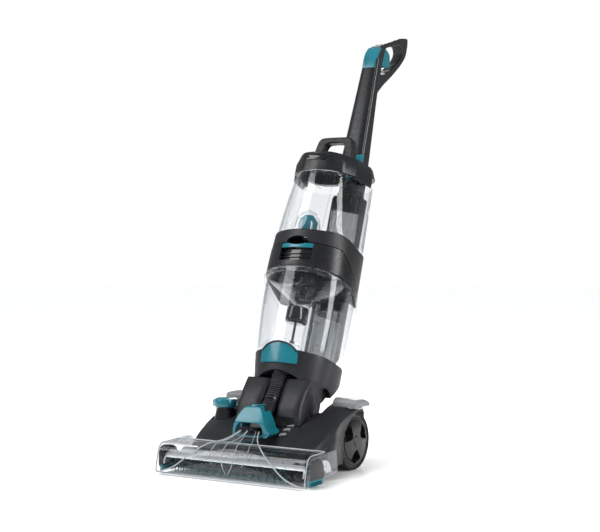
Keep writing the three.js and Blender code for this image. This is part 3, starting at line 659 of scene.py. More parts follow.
def make_latch():
    skin = front_skin("latch", 100, 162, -4.3, -0.9)
    latch = intersect(skin, prism("arch", latch_outline(-0.6), -90, -8, "Y"))
    groove = [(-26, 119), (26, 119), (26, 117.4), (-26, 117.4)]
    arrow = [(-3.4, 141), (3.4, 141), (0, 146.5)]
    cut(latch, intersect(body_solid("band", 100, 162, inset=-6),
                         prism("line", groove, -62.5, -56.2, "Y")))
    bevel(latch, 0.9, 3)
    place(latch, "latch_shell", BODY, "lower_latch", TEAL, "teal_plastic", ["tank_latch"])
    mark = intersect(front_skin("mark", 136, 150, -4.7, -4.0), prism("arrow", arrow, -90, -8, "Y"))
    place(mark, "latch_arrow", BODY, "lower_latch", TEAL_DEEP, "teal_plastic")
    path = [(x, front_at(x, z, -4.9), z) for x, z in latch_outline(-1.6)[6:-4]]
    place(tube("seal", path, 1.7, 10), "latch_arc", BODY, "lower_latch", GLOSS, "black_plastic")


def front_at(x, z, inset):
    """The y of the body's front at x and z, for a surface at that inset."""
    half = body_half_width(z) - inset
    depth = 25 - body_front(z) - inset
    return 25 - depth * math.sqrt(max(0.0, 1 - (x / half) ** 2))


def tank_top(y):
    """The dirty tank's rim: under the lid's lower edge, then level with the frame's foot."""
    return (lid_low(y) if y < LID_REAR_Y else frame_foot(y)) - GAP


def tank_rim(offset):
    return lambda y: tank_top(y) + offset


def make_dirty_tank():
    tank = body_solid("tank", lambda y: rim(y) + GAP, tank_rim(0), inset=TANK_INSET, steps=18)
    cut(tank, body_solid("inside", lambda y: rim(y) + GAP + WALL, tank_rim(8), inset=TANK_INSET + WALL,
                         steps=14))
    bevel(tank, 0.7, 2, 40)
    flange_rings = [
        ring_at(tank_rim(-11.5), TANK_INSET), ring_at(tank_rim(-12), -3.2), ring_at(tank_rim(-9), -4.4),
        ring_at(tank_rim(-4), -4.4), ring_at(tank_rim(-2.6), -3.6), ring_at(tank_rim(-2.6), TANK_INSET),
    ]
    flange = cut(closed_loft("flange", flange_rings), block(-150, 150, LID_REAR_Y - 1, 150, 0, 500))
    lip = intersect(front_skin("lip", 110, 170, -5.2, 3.0), prism("arch", latch_outline(8), -90, -8, "Y"))
    cut(lip, prism("opening", latch_outline(1.8), -95, -5, "Y"), block(-150, 150, -90, 10, 90, 146))
    bevel(lip, 0.6, 2)
    crest = [(x, front_at(x, z, -5.0), z) for x, z in latch_outline(6.5)[6:-4]]
    shelves = []
    for x in (-30, 34):
        web = intersect(body_solid("web", 150, 270, inset=4.0, steps=8),
                        block(x, x + 1.6, 86, 106, 148, 268))
        shelves.append(web)
    piece = merged("tank", [tank, flange, lip, tube("crest", crest, 1.3, 10), *shelves])
    place(piece, "dirty_tank_wall", BODY, "dirty_water_tank", CLEAR, "clear_plastic", ["dirty_tank"], 40)


def make_riser():
    wall = [(14, 137), (14, 327), (11.6, 327), (11.6, 137), (14, 137)]
    riser = lathe("riser", wall, 0, 60, "Z", 64)
    collar = lathe("collar", [(17, 140), (17, 146), (14.2, 148), (14.2, 140), (17, 140)], 0, 60, "Z", 64)
    place(merged("riser", [riser, collar]), "riser_pipe", BODY, "dirty_water_tank", CLEAR,
          "clear_plastic", ["riser_tube"])


def make_float():
    drum = lathe("drum", [(0, 208.5), (21, 208.5), (23.2, 210), (24, 212), (24, 241), (23.2, 243),
                          (22, 243.4), (21, 242.4), (21, 238), (0, 238)], 0, FLOAT_Y, "Z", 80)
    ring = lathe("ring", [(24.0, 214), (24.7, 214.6), (24.7, 217), (24.0, 217.6), (24.0, 214)], 0,
                 FLOAT_Y, "Z", 80)
    rod = bar("rod", 2.8, 165, 209, 0, FLOAT_Y, "Z", 28)
    foot = bar("foot", 5.2, 163, 168, 0, FLOAT_Y, "Z", 32)
    place(merged("float", [drum, ring, rod, foot]), "float_drum", BODY, "float_stop", GLOSS,
          "black_plastic", ["float"])


def make_cone():
    """A wide funnel that gathers just above the float, and passes round the riser pipe."""
    rim_z = 303
    outer = lathe("cone", [(0, 249), (17, 249), (18.5, 254), (30, 261), (58, 280), (90, rim_z),
                           (0, rim_z)], 0, CONE_Y, "Z", 96)
    inner = lathe("inner", [(0, 251.4), (15, 251.4), (17, 255.6), (28.4, 263), (56.6, 282.2),
                            (91, rim_z + 4), (0, rim_z + 4)], 0, CONE_Y, "Z", 96)
    cone = cut(outer, inner, bar("gap", 15.5, 200, 400, 0, 60, "Z", 48))
    cone = intersect(cone, body_solid("bound", 240, 310, inset=8))
    cut(cone, block(-40, 40, 76, 120, 200, 400))
    ribs = []
    for step in range(5):
        angle = math.radians(208 + step * 26)
        foot = Vector((math.cos(angle), math.sin(angle)))
        path = [(foot.x * r, CONE_Y + foot.y * r, z) for r, z in ((19, 254.4), (30, 261.6), (56, 279.5))]
        ribs.append(tube("rib", spline(path, 14), 1.0, 8))
    place(merged("cone", [cone, *ribs]), "smoky_cone", BODY, "dirty_water_tank", SMOKE, "smoke_plastic",
          ["cyclone_cone"])


def make_separator():
    drum = lathe("drum", [(0, 266), (9, 268), (16, 280), (19, 290), (22, 296), (24, 300), (24, 328),
                          (27.5, 332), (27.5, 357), (0, 357)], 0, SEPARATOR_Y, "Z", 64)
    vanes = []
    for step in range(12):
        angle = math.radians(step * 30)
        vane = block(20, 27.5, -1.1, 1.1, 299, 330)
        vane.data.transform(Matrix.Translation((0, SEPARATOR_Y, 0)) @ Matrix.Rotation(angle, 4, "Z"))
        vanes.append(vane)
    hoops = [lathe("hoop", [(23.8, z), (28.4, z + 0.6), (28.4, z + 2.6), (23.8, z + 3.2), (23.8, z)], 0,
                   SEPARATOR_Y, "Z", 64) for z in (299, 308, 318)]
    scoop = tube("scoop", spline([(10, 8, 300), (20, -8, 292), (16, -20, 280), (4, -16, 270)], 18), 5, 14)
    place(merged("separator", [drum, *vanes, *hoops, scoop]), "separator_cage", BODY, "dirty_water_tank",
          GLOSS, "black_plastic", ["separator"])


def make_spine():
    column = block(-38, 38, 109.8, 140, 132, 545)
    slope = [(100, 100), (100, 132), (109.8, 132), (150, 180), (160, 100)]
    cut(column, prism("slope", slope, -40, 40, "X"),
        block(-33, 33, 114, 150, 190, LOWER_HOOK_Z - 18),
        block(-33, 33, 114, 150, LOWER_HOOK_Z + 12, 530))
    join(column, block(-27, 27, 109.9, 139.9, 530, 559))
    bevel(column, 3.0, 4)
    ridges = []
    for x, radius in ((-31, 3.6), (-14, 2.6), (14, 2.6), (31, 3.6)):
        ridges.append(bar("ridge", radius, 150, 548, x, 110.2, "Z", 24))
    place(column, "spine_column", BODY, "upright", BLACK, "black_plastic", ["spine"])
    place(merged("ridges", ridges), "spine_ridges", BODY, "upright", GLOSS, "black_plastic")


# ---------------------------------------------------------------- upright: lid and frame
def make_lid():
    band = body_solid("band", lid_low, lambda y: lid_top(y) + 3, inset=-2, steps=14)
    band = intersect(band, seam_prism(0.9))
    cut(band, intersect(body_solid("hollow", lambda y: lid_low(y) - 4, lambda y: lid_top(y) - 4, inset=6),
                        seam_prism(6)))
    window = rounded([(-41, 336, 4), (-41, 384, 0.5), (41, 384, 0.5), (41, 336, 4)], 5)
    cut(band, prism("window", window, -90, -39, "Y"))
    bevel(band, 1.3, 3)
    place(band, "lid_band", BODY, "dirty_water_tank", SATIN, "grey_plastic", ["dirty_tank_lid"])
    back = cut(body_solid("back", 334, 366, inset=9), body_solid("behind", 330, 370, inset=12),
               block(-150, 150, -10, 150, 300, 400))
    back = intersect(back, block(-40.5, 40.5, -90, 0, 300, 400))
    lines = []
    for z in (344.5, 352.5):
        slat = cut(body_solid("slat", z, z + 1.6, inset=5), body_solid("behind", z - 2, z + 4, inset=10))
        lines.append(intersect(slat, block(-40.2, 40.2, -90, -20, 300, 400)))
    place(merged("panel", [back, *lines]), "lid_window", BODY, "dirty_water_tank", GLOSS, "black_plastic")


def make_lever():
    lever = cut(body_solid("lever", 365.5, 375, inset=-0.6), body_solid("behind", 360, 372.6, inset=3.4),
                block(-150, 150, -36, 150, 300, 420))
    lever = intersect(lever, block(-40, 40, -90, 0, 300, 400))
    dip = [(p.x, p.y) for p in arc(0, 378.5, 24, 7.0, 180, 360, 32)]
    cut(lever, prism("dip", [(-24, 390), *dip, (24, 390)], -90, -44, "Y"))
    bevel(lever, 0.8, 3)
    place(lever, "lever_blade", BODY, "lid_lever", TEAL, "teal_plastic", ["grip_lever"])


def frame_top(y):
    """The frame's top is level at the front and falls away along the sides."""
    share = min(1.0, max(0.0, (y + 24) / 72))
    return FRAME_TOP_Z - 21 * share * share * (3 - 2 * share)


def make_frame_band():
    ring = body_solid("ring", 290, frame_top, inset=-1.2, steps=16)
    below = prism("below", [(30, 200), (140, 200), (140, sloped(FRAME_FOOT_Z, 140)),
                            (30, sloped(FRAME_FOOT_Z, 30))], -150, 150, "X")
    hollow = body_solid("hollow", 280, lambda y: frame_top(y) - 6, inset=5)
    cut(ring, seam_prism(-0.9), below, hollow)
    pull = [(p.x, p.y) for p in arc(0, 379, 28.5, 12.5, 0, 180, 36)]
    cut(ring, prism("pull", [(28.5, 372), *pull, (-28.5, 372)], -90, -44, "Y"))
    cut(ring, bar("port", 11, 390, 412, 0, -22, "Z", 48))
    bevel(ring, 1.5, 3)
    place(ring, "frame_band", BODY, "upright", DARK, "grey_plastic", ["mid_frame"])


# ---------------------------------------------------------------- upright: clean tank
def make_clean_tank():
    top = CAP_BOTTOM_Z - 1
    tank = body_solid("tank", lambda y: frame_top(y) + GAP, top, inset=TANK_INSET, steps=14)
    cut(tank, body_solid("inside", lambda y: frame_top(y) + GAP + WALL, top + 9, inset=TANK_INSET + WALL,
                         steps=10))
    cut(tank, bar("port", 6.5, 380, 414, 0, -22, "Z", 40))
    bevel(tank, 0.7, 2, 40)
    ribs = []
    for x in (-50, 48, 66):
        path = [(x, front_at(x, z, TANK_INSET + 1.8), z) for z in range(412, 549, 8)]
        ribs.append(tube("rib", path, 1.3, 8))
    marks = []
    for start, end in (((-46, 520), (6, 497)), ((2, 521), (26, 505))):
        line = [(start[0] + (end[0] - start[0]) * k / 12, start[1] + (end[1] - start[1]) * k / 12)
                for k in range(13)]
        path = [(x, front_at(x, z, TANK_INSET + 3.2), z) for x, z in line]
        marks.append(tube("mark", path, 0.55, 8))
    place(merged("marks", marks), "fill_marks", BODY, "clean_water_tank", PALE, "clear_plastic")
    place(merged("tank", [tank, *ribs]), "clean_tank_wall", BODY, "clean_water_tank", CLEAR,
          "clear_plastic", ["clean_tank"], 40)
    bell = lathe("bell", [(27, 410), (27, 426), (24.6, 441), (17, 454), (7, 461), (7, 463), (18, 456),
                          (26.2, 442), (28.6, 426), (28.6, 410), (27, 410)], VALVE_X, VALVE_Y, "Z", 64)
    place(bell, "valve_bell", BODY, "clean_water_tank", CLEAR, "clear_plastic")


def make_valve():
    knob = lathe("knob", [(0, 404), (5.5, 404), (5.5, 410), (15, 412), (20, 420), (21, 431), (17.6, 443),
                          (10, 451), (0, 453)], VALVE_X, VALVE_Y, "Z", 64)
    blades = []
    for step in range(3):
        blade = block(-1.8, 1.8, 0, 22.4, 413, 438)
        blade.data.transform(Matrix.Translation((VALVE_X, VALVE_Y, 0))
                             @ Matrix.Rotation(math.radians(40 + 120 * step), 4, "Z"))
        blades.append(blade)
    place(merged("valve", [knob, *blades]), "valve_knob", BODY, "floor_valve", TEAL, "teal_plastic",
          ["tank_valve"])


def cap_plan(inset=0.0, sides=0.0):
    """The cap's outline from above; sides pulls in its flanks and rear only."""
    flank = inset + sides
    half = [(0, -45 + inset, 12), (34, -41 + inset, 10), (62 - flank, -24 + inset, 5), (82 - flank, 7, 6),
            (91 - flank, 58, 5), (84 - flank, 84, 5), (60 - flank, 104 - flank, 9)]
    left = [(-x, y, r) for x, y, r in half[1:]][::-1]
    return rounded(half + left, 5)


def make_cap():
    low = CAP_BOTTOM_Z - 6
    levels = [(low, 0), (CAP_TOP_Z - 22, 0), (CAP_TOP_Z, 9)]
    cap = loft("cap", [[(p.x, p.y, z) for p in cap_plan(0, sides)] for z, sides in levels])
    cut(cap, block(-120, 120, -80, 4, low - 5, CAP_BOTTOM_Z),
        block(-120, 120, 60, 130, low - 5, CAP_BOTTOM_Z + 18),
        prism("inside", cap_plan(4, 9), low - 10, CAP_TOP_Z - 4, "Z"),
        body_solid("under", low - 8, CAP_BOTTOM_Z, inset=-0.6),
        block(1, 40, 76, 120, CAP_TOP_Z - 14, CAP_TOP_Z + 5))
    bevel(cap, 2.6, 4, 40)
    place(cap, "cap_shell", BODY, "clean_water_tank", SATIN, "grey_plastic", ["clean_tank_cap"])
    badge = prism("badge", rounded([(-24, 574.5, 6), (-24, 589, 6), (24, 589, 6), (24, 574.5, 6)], 6),
                  -45.9, -41, "Y")
    bevel(badge, 0.5, 2)
    place(badge, "blank_badge", BODY, "clean_water_tank", GLOSS, "black_plastic", ["tank_badge"])


def make_carry_handle():
    half = [(52, CAP_TOP_Z - 1, 1), (50, 628, 16), (42, 655, 12), (0, 656, 1)]
    hole = [(29, CAP_TOP_Z - 6, 1), (29, 624, 10), (22, 642, 8), (0, 643, 1)]
    outer = rounded(half + [(-x, z, r) for x, z, r in half[:-1]][::-1], 8)
    inner = rounded(hole + [(-x, z, r) for x, z, r in hole[:-1]][::-1], 8)
    loop = prism("loop", outer, 20, 40, "Y", 6)
    cut(loop, prism("hole", inner, 0, 80, "Y"))
    moulded(loop, 1.4, rounds=9, keep=0.5)
    place(loop, "carry_loop", BODY, "clean_water_tank", BLACK, "black_plastic", ["carry_handle"], 60)


def make_tank_top_parts():
    plug = lathe("plug", [(0, CAP_TOP_Z + 0.4), (12, CAP_TOP_Z + 0.4), (12.6, CAP_TOP_Z + 2),
                          (11, CAP_TOP_Z + 15), (9, CAP_TOP_Z + 17.6), (6, CAP_TOP_Z + 16.4),
                          (0, CAP_TOP_Z + 16.4)], 0, 66, "Z", 64)
    place(plug, "filler_stopper", BODY, "filler_cap", GLOSS, "black_plastic", ["filler_plug"])
    outline = [(79, CAP_TOP_Z - 10), (79, CAP_TOP_Z + 30), (85, CAP_TOP_Z + 46), (94.3, CAP_TOP_Z + 47),
               (94.3, CAP_TOP_Z - 10)]
    button = prism("button", rounded([(u, v, 5) for u, v in outline], 5), 3, 38, "X")
    bevel(button, 2.4, 4)
    grooves = [block(x - 0.6, x + 0.6, 76, 83, CAP_TOP_Z + 22, CAP_TOP_Z + 50) for x in (14, 20, 26, 32)]
    cut(button, *grooves)
    place(button, "button_pad", BODY, "release_button", TEAL, "teal_plastic", ["tank_button"])


# ---------------------------------------------------------------- upright: stem and handle
def stem_size(z):
    """The stem's half width, front and rear at a height: it steps forward above the cap, then tapers."""
    step = min(1, max(0, (z - 600) / 20))
    taper = max(0, (z - 620) / 280)
    return 29 - 10 * taper, 108 - 12 * step + 4.5 * taper, 140 - 3 * step - 11 * taper


def stem_ring(z):
    half, front, rear = stem_size(z)
    corners = [(-half, front + 4, 7), (-half * 0.55, front, 12), (half * 0.55, front, 12),
               (half, front + 4, 7), (half, rear, 6), (-half, rear, 6)]
    return [(p.x, p.y, z) for p in rounded(corners, 6)]


def make_stem():
    heights = [560, 580, 598, 602, 610, 618, 622, *range(650, 880, 25), 893]
    stem = loft("stem", [stem_ring(z) for z in heights])
    bevel(stem, 0.8, 2, 50)
    place(stem, "stem_column", BODY, "upright", SATIN, "grey_plastic", ["stem"], 30)
    trims = []
    for side in (1, -1):
        path = [(side * stem_size(z)[0], stem_size(z)[1] + 7.5, z) for z in range(606, 899, 12)]
        trims.append(tube("trim", path, 0.95, 8))
    place(merged("trims", trims), "stem_trim", BODY, "upright", PALE, "pale_grey_plastic")


def handle_hole(grow=0.0):
    return rounded([(139 - grow, 867 - grow, 6), (160 + grow * 0.2, 878 - grow, 14),
                    (212 + grow, 936, 18), (223 + grow, 962 + grow, 10), (213, 976 + grow, 9),
                    (196, 973 + grow, 12), (141 - grow, 938 + grow, 12)], 8)


def make_handle():
    outer = rounded([(100.6, 893.5, 0.5), (103, 911, 12), (117, 933, 14), (205, 997, 20), (235, 1010, 5),
                     (240, 994, 8), (241, 964, 16), (224, 932, 20), (190, 885, 30), (160, 850, 22),
                     (137, 814, 14), (131.5, 800, 0.5), (127.6, 893.5, 0.5)], 8)
    grip = prism("grip", outer, -13.5, 13.5, "X", 6)
    cut(grip, prism("hole", handle_hole(), -30, 30, "X"), block(-9, 9, 127, 160, 894, 943))
    moulded(grip, 1.3, rounds=9, keep=0.7)
    place(grip, "loop_handle", BODY, "upright", DARK, "grey_plastic", ["handle_grip"], 60)
    liner = prism("liner", handle_hole(1.4), -10, 10, "X")
    cut(liner, prism("hole", handle_hole(-1.2), -30, 30, "X"), block(-30, 30, 100, 182, 850, 1000))
    moulded(liner, 0.9, rounds=3, keep=0.5)
    place(liner, "grip_liner", BODY, "upright", TEXTURED, "grey_plastic")
    profile = [(99.2, 868, 0.5), (99.8, 896, 8), (103, 911, 8), (113, 927.5, 1), (118, 924, 1),
               (110, 905, 1), (108, 868, 0.5)]
    panel = prism("panel", rounded(profile, 5), -16.5, 16.5, "X", 4)
    bevel(panel, 3.0, 5)
    place(panel, "teal_panel", BODY, "upright", TEAL, "teal_plastic", ["handle_panel"])
    strip = prism("strip", [(98.9, 872), (99.3, 896), (104, 896), (104, 872)], -13, -7.5, "X")
    bevel(strip, 0.7, 2)
    place(strip, "panel_strip", BODY, "upright", TEAL_DEEP, "teal_plastic")


def make_trigger():
    outline = rounded([(134, 899, 1), (134, 939, 3), (158, 941, 4), (174, 936, 5), (184, 908, 6),
                       (160, 896, 5)], 6)
    trigger = prism("trigger", outline, -8, 8, "X", 3)
    bevel(trigger, 2.0, 4)
    place(trigger, "trigger_blade", BODY, "hand_trigger", TEAL, "teal_plastic", ["trigger"])


def make_cord_hooks():
    for name, z, turn, body in (
        ("upper_hook", UPPER_HOOK_Z, 1, "cord_hook"), ("lower_hook", LOWER_HOOK_Z, -1, "upright"),
    ):
        root = 140 + GAP
        inside = z + 7 * turn
        tip = z + 22 * turn
        arm = rounded([(root, z, 0.5), (170, z, 6), (170, tip, 3), (164, tip, 3), (164, inside, 3),
                       (root, inside, 0.5)], 6)
        hook = prism(name, arm, -9, 9, "X", 3)
        bevel(hook, 1.8, 4)
        place(hook, name, BODY, body, GLOSS, "black_plastic", [name.replace("hook", "cord_hook")])


# ---------------------------------------------------------------- base: shell
# Across the base shell at each distance from the front: the trough's floor, the wing's inner edge (x, z),
# its ridge (x, z), its outer edge's x and the side wall's x.
SHELL_STATIONS = [
    (78, 57, 33, 61, 118, 66, 146, 150),
    (90, 62, 35, 71, 122, 73, 150, 155),
    (110, 74, 44, 83, 125, 85, 154, 161),
    (135, 84, 54, 97, 126, 98, 157, 164),
    (160, 84, 56, 107, 127, 111, 158, 163),
    (188, 84, 58, 116, 128, 123, 157, 150),
    (205, 84, 69, 124, 130, 130, 157, 149),
    (220, 84, 80, 132, 131, 136, 158, 151),
    (250, 84, 99, 143, 134, 145, 157, 157),
    (285, 84, 100, 144, 132, 146, 150, 155),
    (310, 84, 100, 133, 128, 135, 140, 147),
    (326, 80, 98, 110, 118, 112, 130, 136),
]


def station_at(y):
    for low, high in zip(SHELL_STATIONS, SHELL_STATIONS[1:]):
        if y <= high[0]:
            share = (y - low[0]) / (high[0] - low[0])
            return [a + (b - a) * share for a, b in zip(low, high)]
    return SHELL_STATIONS[-1]


def shell_ring(y):
    spread = [station_at(min(326, max(78, y + d))) for d in (-9, -4, 0, 4, 9)]
    trough, inner_x, inner_z, ridge_x, ridge_z, outer_x, side_x = (
        sum(station[i] for station in spread) / len(spread) for i in range(1, 8)
    )
    half = [(22, trough, 2), (26, inner_z - 0.18 * (inner_x - 22), 3), (inner_x, inner_z, 4),
            (ridge_x, ridge_z, 14), (outer_x, ridge_z - 9, 9), (side_x, max(30, ridge_z - 38), 6),
            (side_x, 22, 2)]
    left = [(-x, z, r) for x, z, r in half][::-1]
    return [(p.x, y, p.y) for p in rounded(half + left, 5)]


def make_base_shell():
    stations = [78, 80, 84, *range(90, 320, 6), 320, 324, 326]
    shell = loft("shell", [shell_ring(y) for y in stations])
    cut(shell, block(-200, 200, 70, 123, 0, 54), block(-100, 100, 202, 340, 76, 220))
    cut(shell, bar("pocket", 47, -85, 85, PIVOT_Y, PIVOT_Z, "X", 96), block(-24, 24, 100, 190, 84, 200))
    for side in (1, -1):
        near, far = sorted((side * 104, side * 200))
        cut(shell, bar("bay", WHEEL_RADIUS + 6, near, far, AXLE_Y, WHEEL_RADIUS, "X", 96),
            block(near, far, AXLE_Y - WHEEL_RADIUS - 6, 340, -1, WHEEL_RADIUS),
            block(min(side * 106, side * 190), max(side * 106, side * 190), 229, 301, 129.6, 200))
    cut(shell, block(-114, 157, 124, 168, 0, 67))
    cut(shell, bar("axle_hole", 4.6, -170, 170, AXLE_Y, WHEEL_RADIUS, "X", 24))
    pocket = lathe("port_pocket", [(0, 60), (21, 60), (21, 97), (27, 99), (31, 106), (33, 160), (0, 160)],
                   PORT_X, PORT_Y, "Z", 72)
    lid_rest = block(PORT_X - 28, PORT_X + 28, 195, 223, 123, 200)
    cut(shell, pocket, lid_rest)
    bevel(shell, 1.5, 3, 38)
    place(shell, "shell_body", BASE, "base", DARK, "grey_plastic", ["base_shell"], 30)
    strips = []
    for x, y, z in ((60, 146, 101.8), (60, 130, 95.2), (60, 114, 87.2)):
        outline = [(x - 8, y - 3.4, 1), (x + 7, y - 3.4, 1), (x + 9, y + 3.4, 1), (x - 6, y + 3.4, 1)]
        pad = prism("pad", rounded(outline, 3), z - 1.5, z + 2.2, "Z")
        tilt = Matrix.Rotation(math.radians(26), 4, "X") @ Matrix.Rotation(math.radians(-9), 4, "Y")
        pad.data.transform(Matrix.Translation((x, y, z)) @ tilt @ Matrix.Translation((-x, -y, -z)))
        strips.append(bevel(pad, 0.5, 2))
    place(merged("strips", strips), "shell_inlays", BASE, "base", PALE, "pale_grey_plastic")


def make_pedals():
    side_view = rounded([(231.5, 136.4, 1), (231, 148, 4), (240, 155, 7), (262, 155, 9), (289, 143.5, 4),
                         (291, 136.4, 1)], 6)
    front_view = rounded([(110, 130, 0.5), (110, 158, 1), (113, 156.5, 4), (157, 153.5, 6), (166, 150, 5),
                          (166, 130, 0.5)], 5)
    right = intersect(prism("pedal", side_view, 110, 165.5, "X", 2),
                      prism("plan", front_view, 220, 300, "Y"))
    for y in (243, 250, 257):
        cut(right, prism("groove", [(116, 160), (116, 154.0), (158, 152.2), (158, 160)], y, y + 1.6, "Y"))
    bevel(right, 1.3, 3)
    place_pair(right, "foot_pedal_{}", "{}_pedal", PALE, "pale_grey_plastic", ["pedal_{}"])


def make_port():
    port = lathe("port", [(19.6, 97), (25.6, 101), (24.4, 108), (21.8, 119), (21.2, 126.6), (15, 126.6),
                          (15, 97), (19.6, 97)], PORT_X, PORT_Y, "Z", 80)
    place(port, "port_collar", BASE, "base", GLOSS, "black_plastic", ["hose_port"])
    lid = lathe("lid", [(0, 128), (24, 128), (25.4, 129.4), (25.4, 140), (24, 144.4), (20.5, 146.4),
                        (0, 147)], PORT_X, PORT_Y, "Z", 80)
    outline = [(PORT_X - 29, PORT_Y - 13, 9), (PORT_X - 6, PORT_Y - 15, 2),
               (PORT_X - 6, PORT_Y + 15, 2), (PORT_X - 29, PORT_Y + 13, 9)]
    tab = prism("tab", rounded(outline, 6), 129, 142, "Z")
    hinge = bar("hinge", 5, PORT_X - 12, PORT_X + 12, PORT_Y + 26, 134, "X", 32)
    web = block(PORT_X - 12, PORT_X + 12, PORT_Y + 12, PORT_Y + 28, 129, 138)
    cap = join(lid, tab, web, hinge)
    bevel(cap, 1.2, 3, 40)
    place(cap, "port_lid", BASE, "hose_port_cap", TEAL, "teal_plastic", ["port_cap"])


# ---------------------------------------------------------------- base: pivot, elbow and hose
def make_pivot_barrels():
    barrel = bar("barrel", BARREL_RADIUS, 26.5, 66, PIVOT_Y, PIVOT_Z, "X", 128)
    bevel(barrel, 3.0, 5)
    cut(barrel, bar("bore", 8.2, 20, 70, PIVOT_Y, PIVOT_Z, "X", 40))
    place_pair(barrel, "pivot_barrel_{}", "base", SATIN, "grey_plastic", ["pivot_housing_{}"])


def oval_rings(path, width, height, samples=24, sides=40):
    line = spline([(0, y, z) for y, z in path], samples)
    rings = []
    for i, point in enumerate(line):
        share = i / samples
        ahead = (line[min(i + 1, samples)] - line[max(i - 1, 0)]).normalized()
        up = Vector((0, -ahead.z, ahead.y))
        wide = width[0] + (width[1] - width[0]) * share
        tall = height[0] + (height[1] - height[0]) * share
        rings.append([point + Vector((1, 0, 0)) * (wide * math.cos(a)) + up * (tall * math.sin(a))
                      for a in (2 * math.pi * k / sides for k in range(sides))])
    return rings


def make_elbow():
    path = [(110, 106), (130, 122), (148, 135), (158, 142), (166, 150)]
    outer = oval_rings(path, (22, 16), (12, 15))
    inner = oval_rings(path, (19.5, 13.5), (9.5, 12.5))
    elbow = closed_loft("elbow", outer + inner[::-1])
    cuff = lathe("cuff", [(13, -5), (17.6, -5), (17.6, 1), (13, 1), (13, -5)], 0, 0, "Z", 64)
    tilt = Matrix.Translation((0, 166, 150)) @ Matrix.Rotation(math.radians(-40), 4, "X")
    cuff.data.transform(tilt)
    place(merged("elbow", [elbow, cuff]), "elbow_pipe", BASE, "base", SATIN, "grey_plastic",
          ["duct_elbow"], 50)


def make_hose():
    """A ribbed hose from the elbow up into the cowl."""
    path = spline([(0, 166, 150), (0, 176, 163.5), (0, 183.5, 176), (0, 191, 189), (0, 197, 200),
                   (0, 203, 214)], 300)
    hose = tube("hose", path, lambda along: 14.3 + 2.6 * math.cos(along * 2 * math.pi * HOSE_RIBS), 48)
    hose.name = "ribbed_hose"
    hose.data.name = "ribbed_hose"
    hose.data.transform(BASE)
    smooth(hose, 60)
    hose.data.materials.append(HOSE)
    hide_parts("suction_hose")
    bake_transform(hose)


# ---------------------------------------------------------------- base: nozzle
DUCT_PATH = [(2.3, 6), (3.2, 20), (9, 46), (24, 67), (52, 76), (84, 92)]
DUCT_CURVE = spline([(0, y, z) for y, z in DUCT_PATH], 100)


def duct_point(along, across, lift):
    """A point on the fan duct: along from the front lip to the hood, across from side to side."""
    i = along * 100
    low = min(99, int(i))
    centre = DUCT_CURVE[low].lerp(DUCT_CURVE[low + 1], i - low)
    ahead = (DUCT_CURVE[low + 1] - DUCT_CURVE[low]).normalized()
    half_width = 24 + 154 * (1 - along) ** 1.35
    rise = 5 * (1 - across ** 2) * min(1, max(0, 4 * along - 0.68)) + lift
    return (across * half_width, centre.y - ahead.z * rise, centre.z + ahead.y * rise)


def make_duct():
    rings = []
    for k in range(41):
        along = k / 40
        upper = [duct_point(along, -1 + i / 16, 2.2) for i in range(33)]
        lower = [duct_point(along, 1 - i / 16, 0) for i in range(33)]
        rings.append(upper + lower)
    plate = loft("duct", rings)
    bevel(plate, 0.5, 2, 50)
    ribs = []
    for side in (-1, 1):
        ribs.append(tube("edge", [duct_point(k / 60, side * 0.985, 2.2) for k in range(61)], 1.4, 10))
        bow = [duct_point(0.16 + 0.8 * k / 50, side * (0.02 + 0.17 * math.sin(math.pi * k / 50) ** 1.2),
                          2.6) for k in range(51)]
        ribs.append(tube("bow", bow, 0.8, 8))
        outer_bow = [duct_point(0.3 + 0.68 * k / 40, side * (0.75 - 0.45 * (1 - k / 40) ** 2), 2.6)
                     for k in range(41)]
        ribs.append(tube("strake", outer_bow, 0.6, 8))
    lip = tube("lip", [(x, 3.4 + 5 * abs(x / 186) ** 6, 5.2) for x in range(-186, 187, 6)], 1.7, 10)
    # The ribs and lip are real clear ribs; their pale colour is a painted highlight.
    place(merged("ribs", [*ribs, lip]), "duct_ribs", BASE, "nozzle", PAINTED_HIGHLIGHT_EDGE, "clear_plastic")
    place(plate, "fan_duct", BASE, "nozzle", NOZZLE_CLEAR, "clear_plastic", ["suction_duct"], 50)


D_PLATE = [(18, 17, 0.5), (18, 46, 10), (26, 57, 8), (52, 57, 10), (69, 46, 10), (69, 17, 0.5)]


def cover_profile(inset, rear):
    return rounded([(4 + inset, 5 - inset * 4, 0.5), (5 + inset, 18, 6), (13 + inset, 52, 10),
                    (22, 64 - inset, 9), (77, 66 - inset, 3), (rear, 68 - inset, 3),
                    (rear + 5, 21 - inset, 4), (64, 12 - inset * 6, 6)], 6)


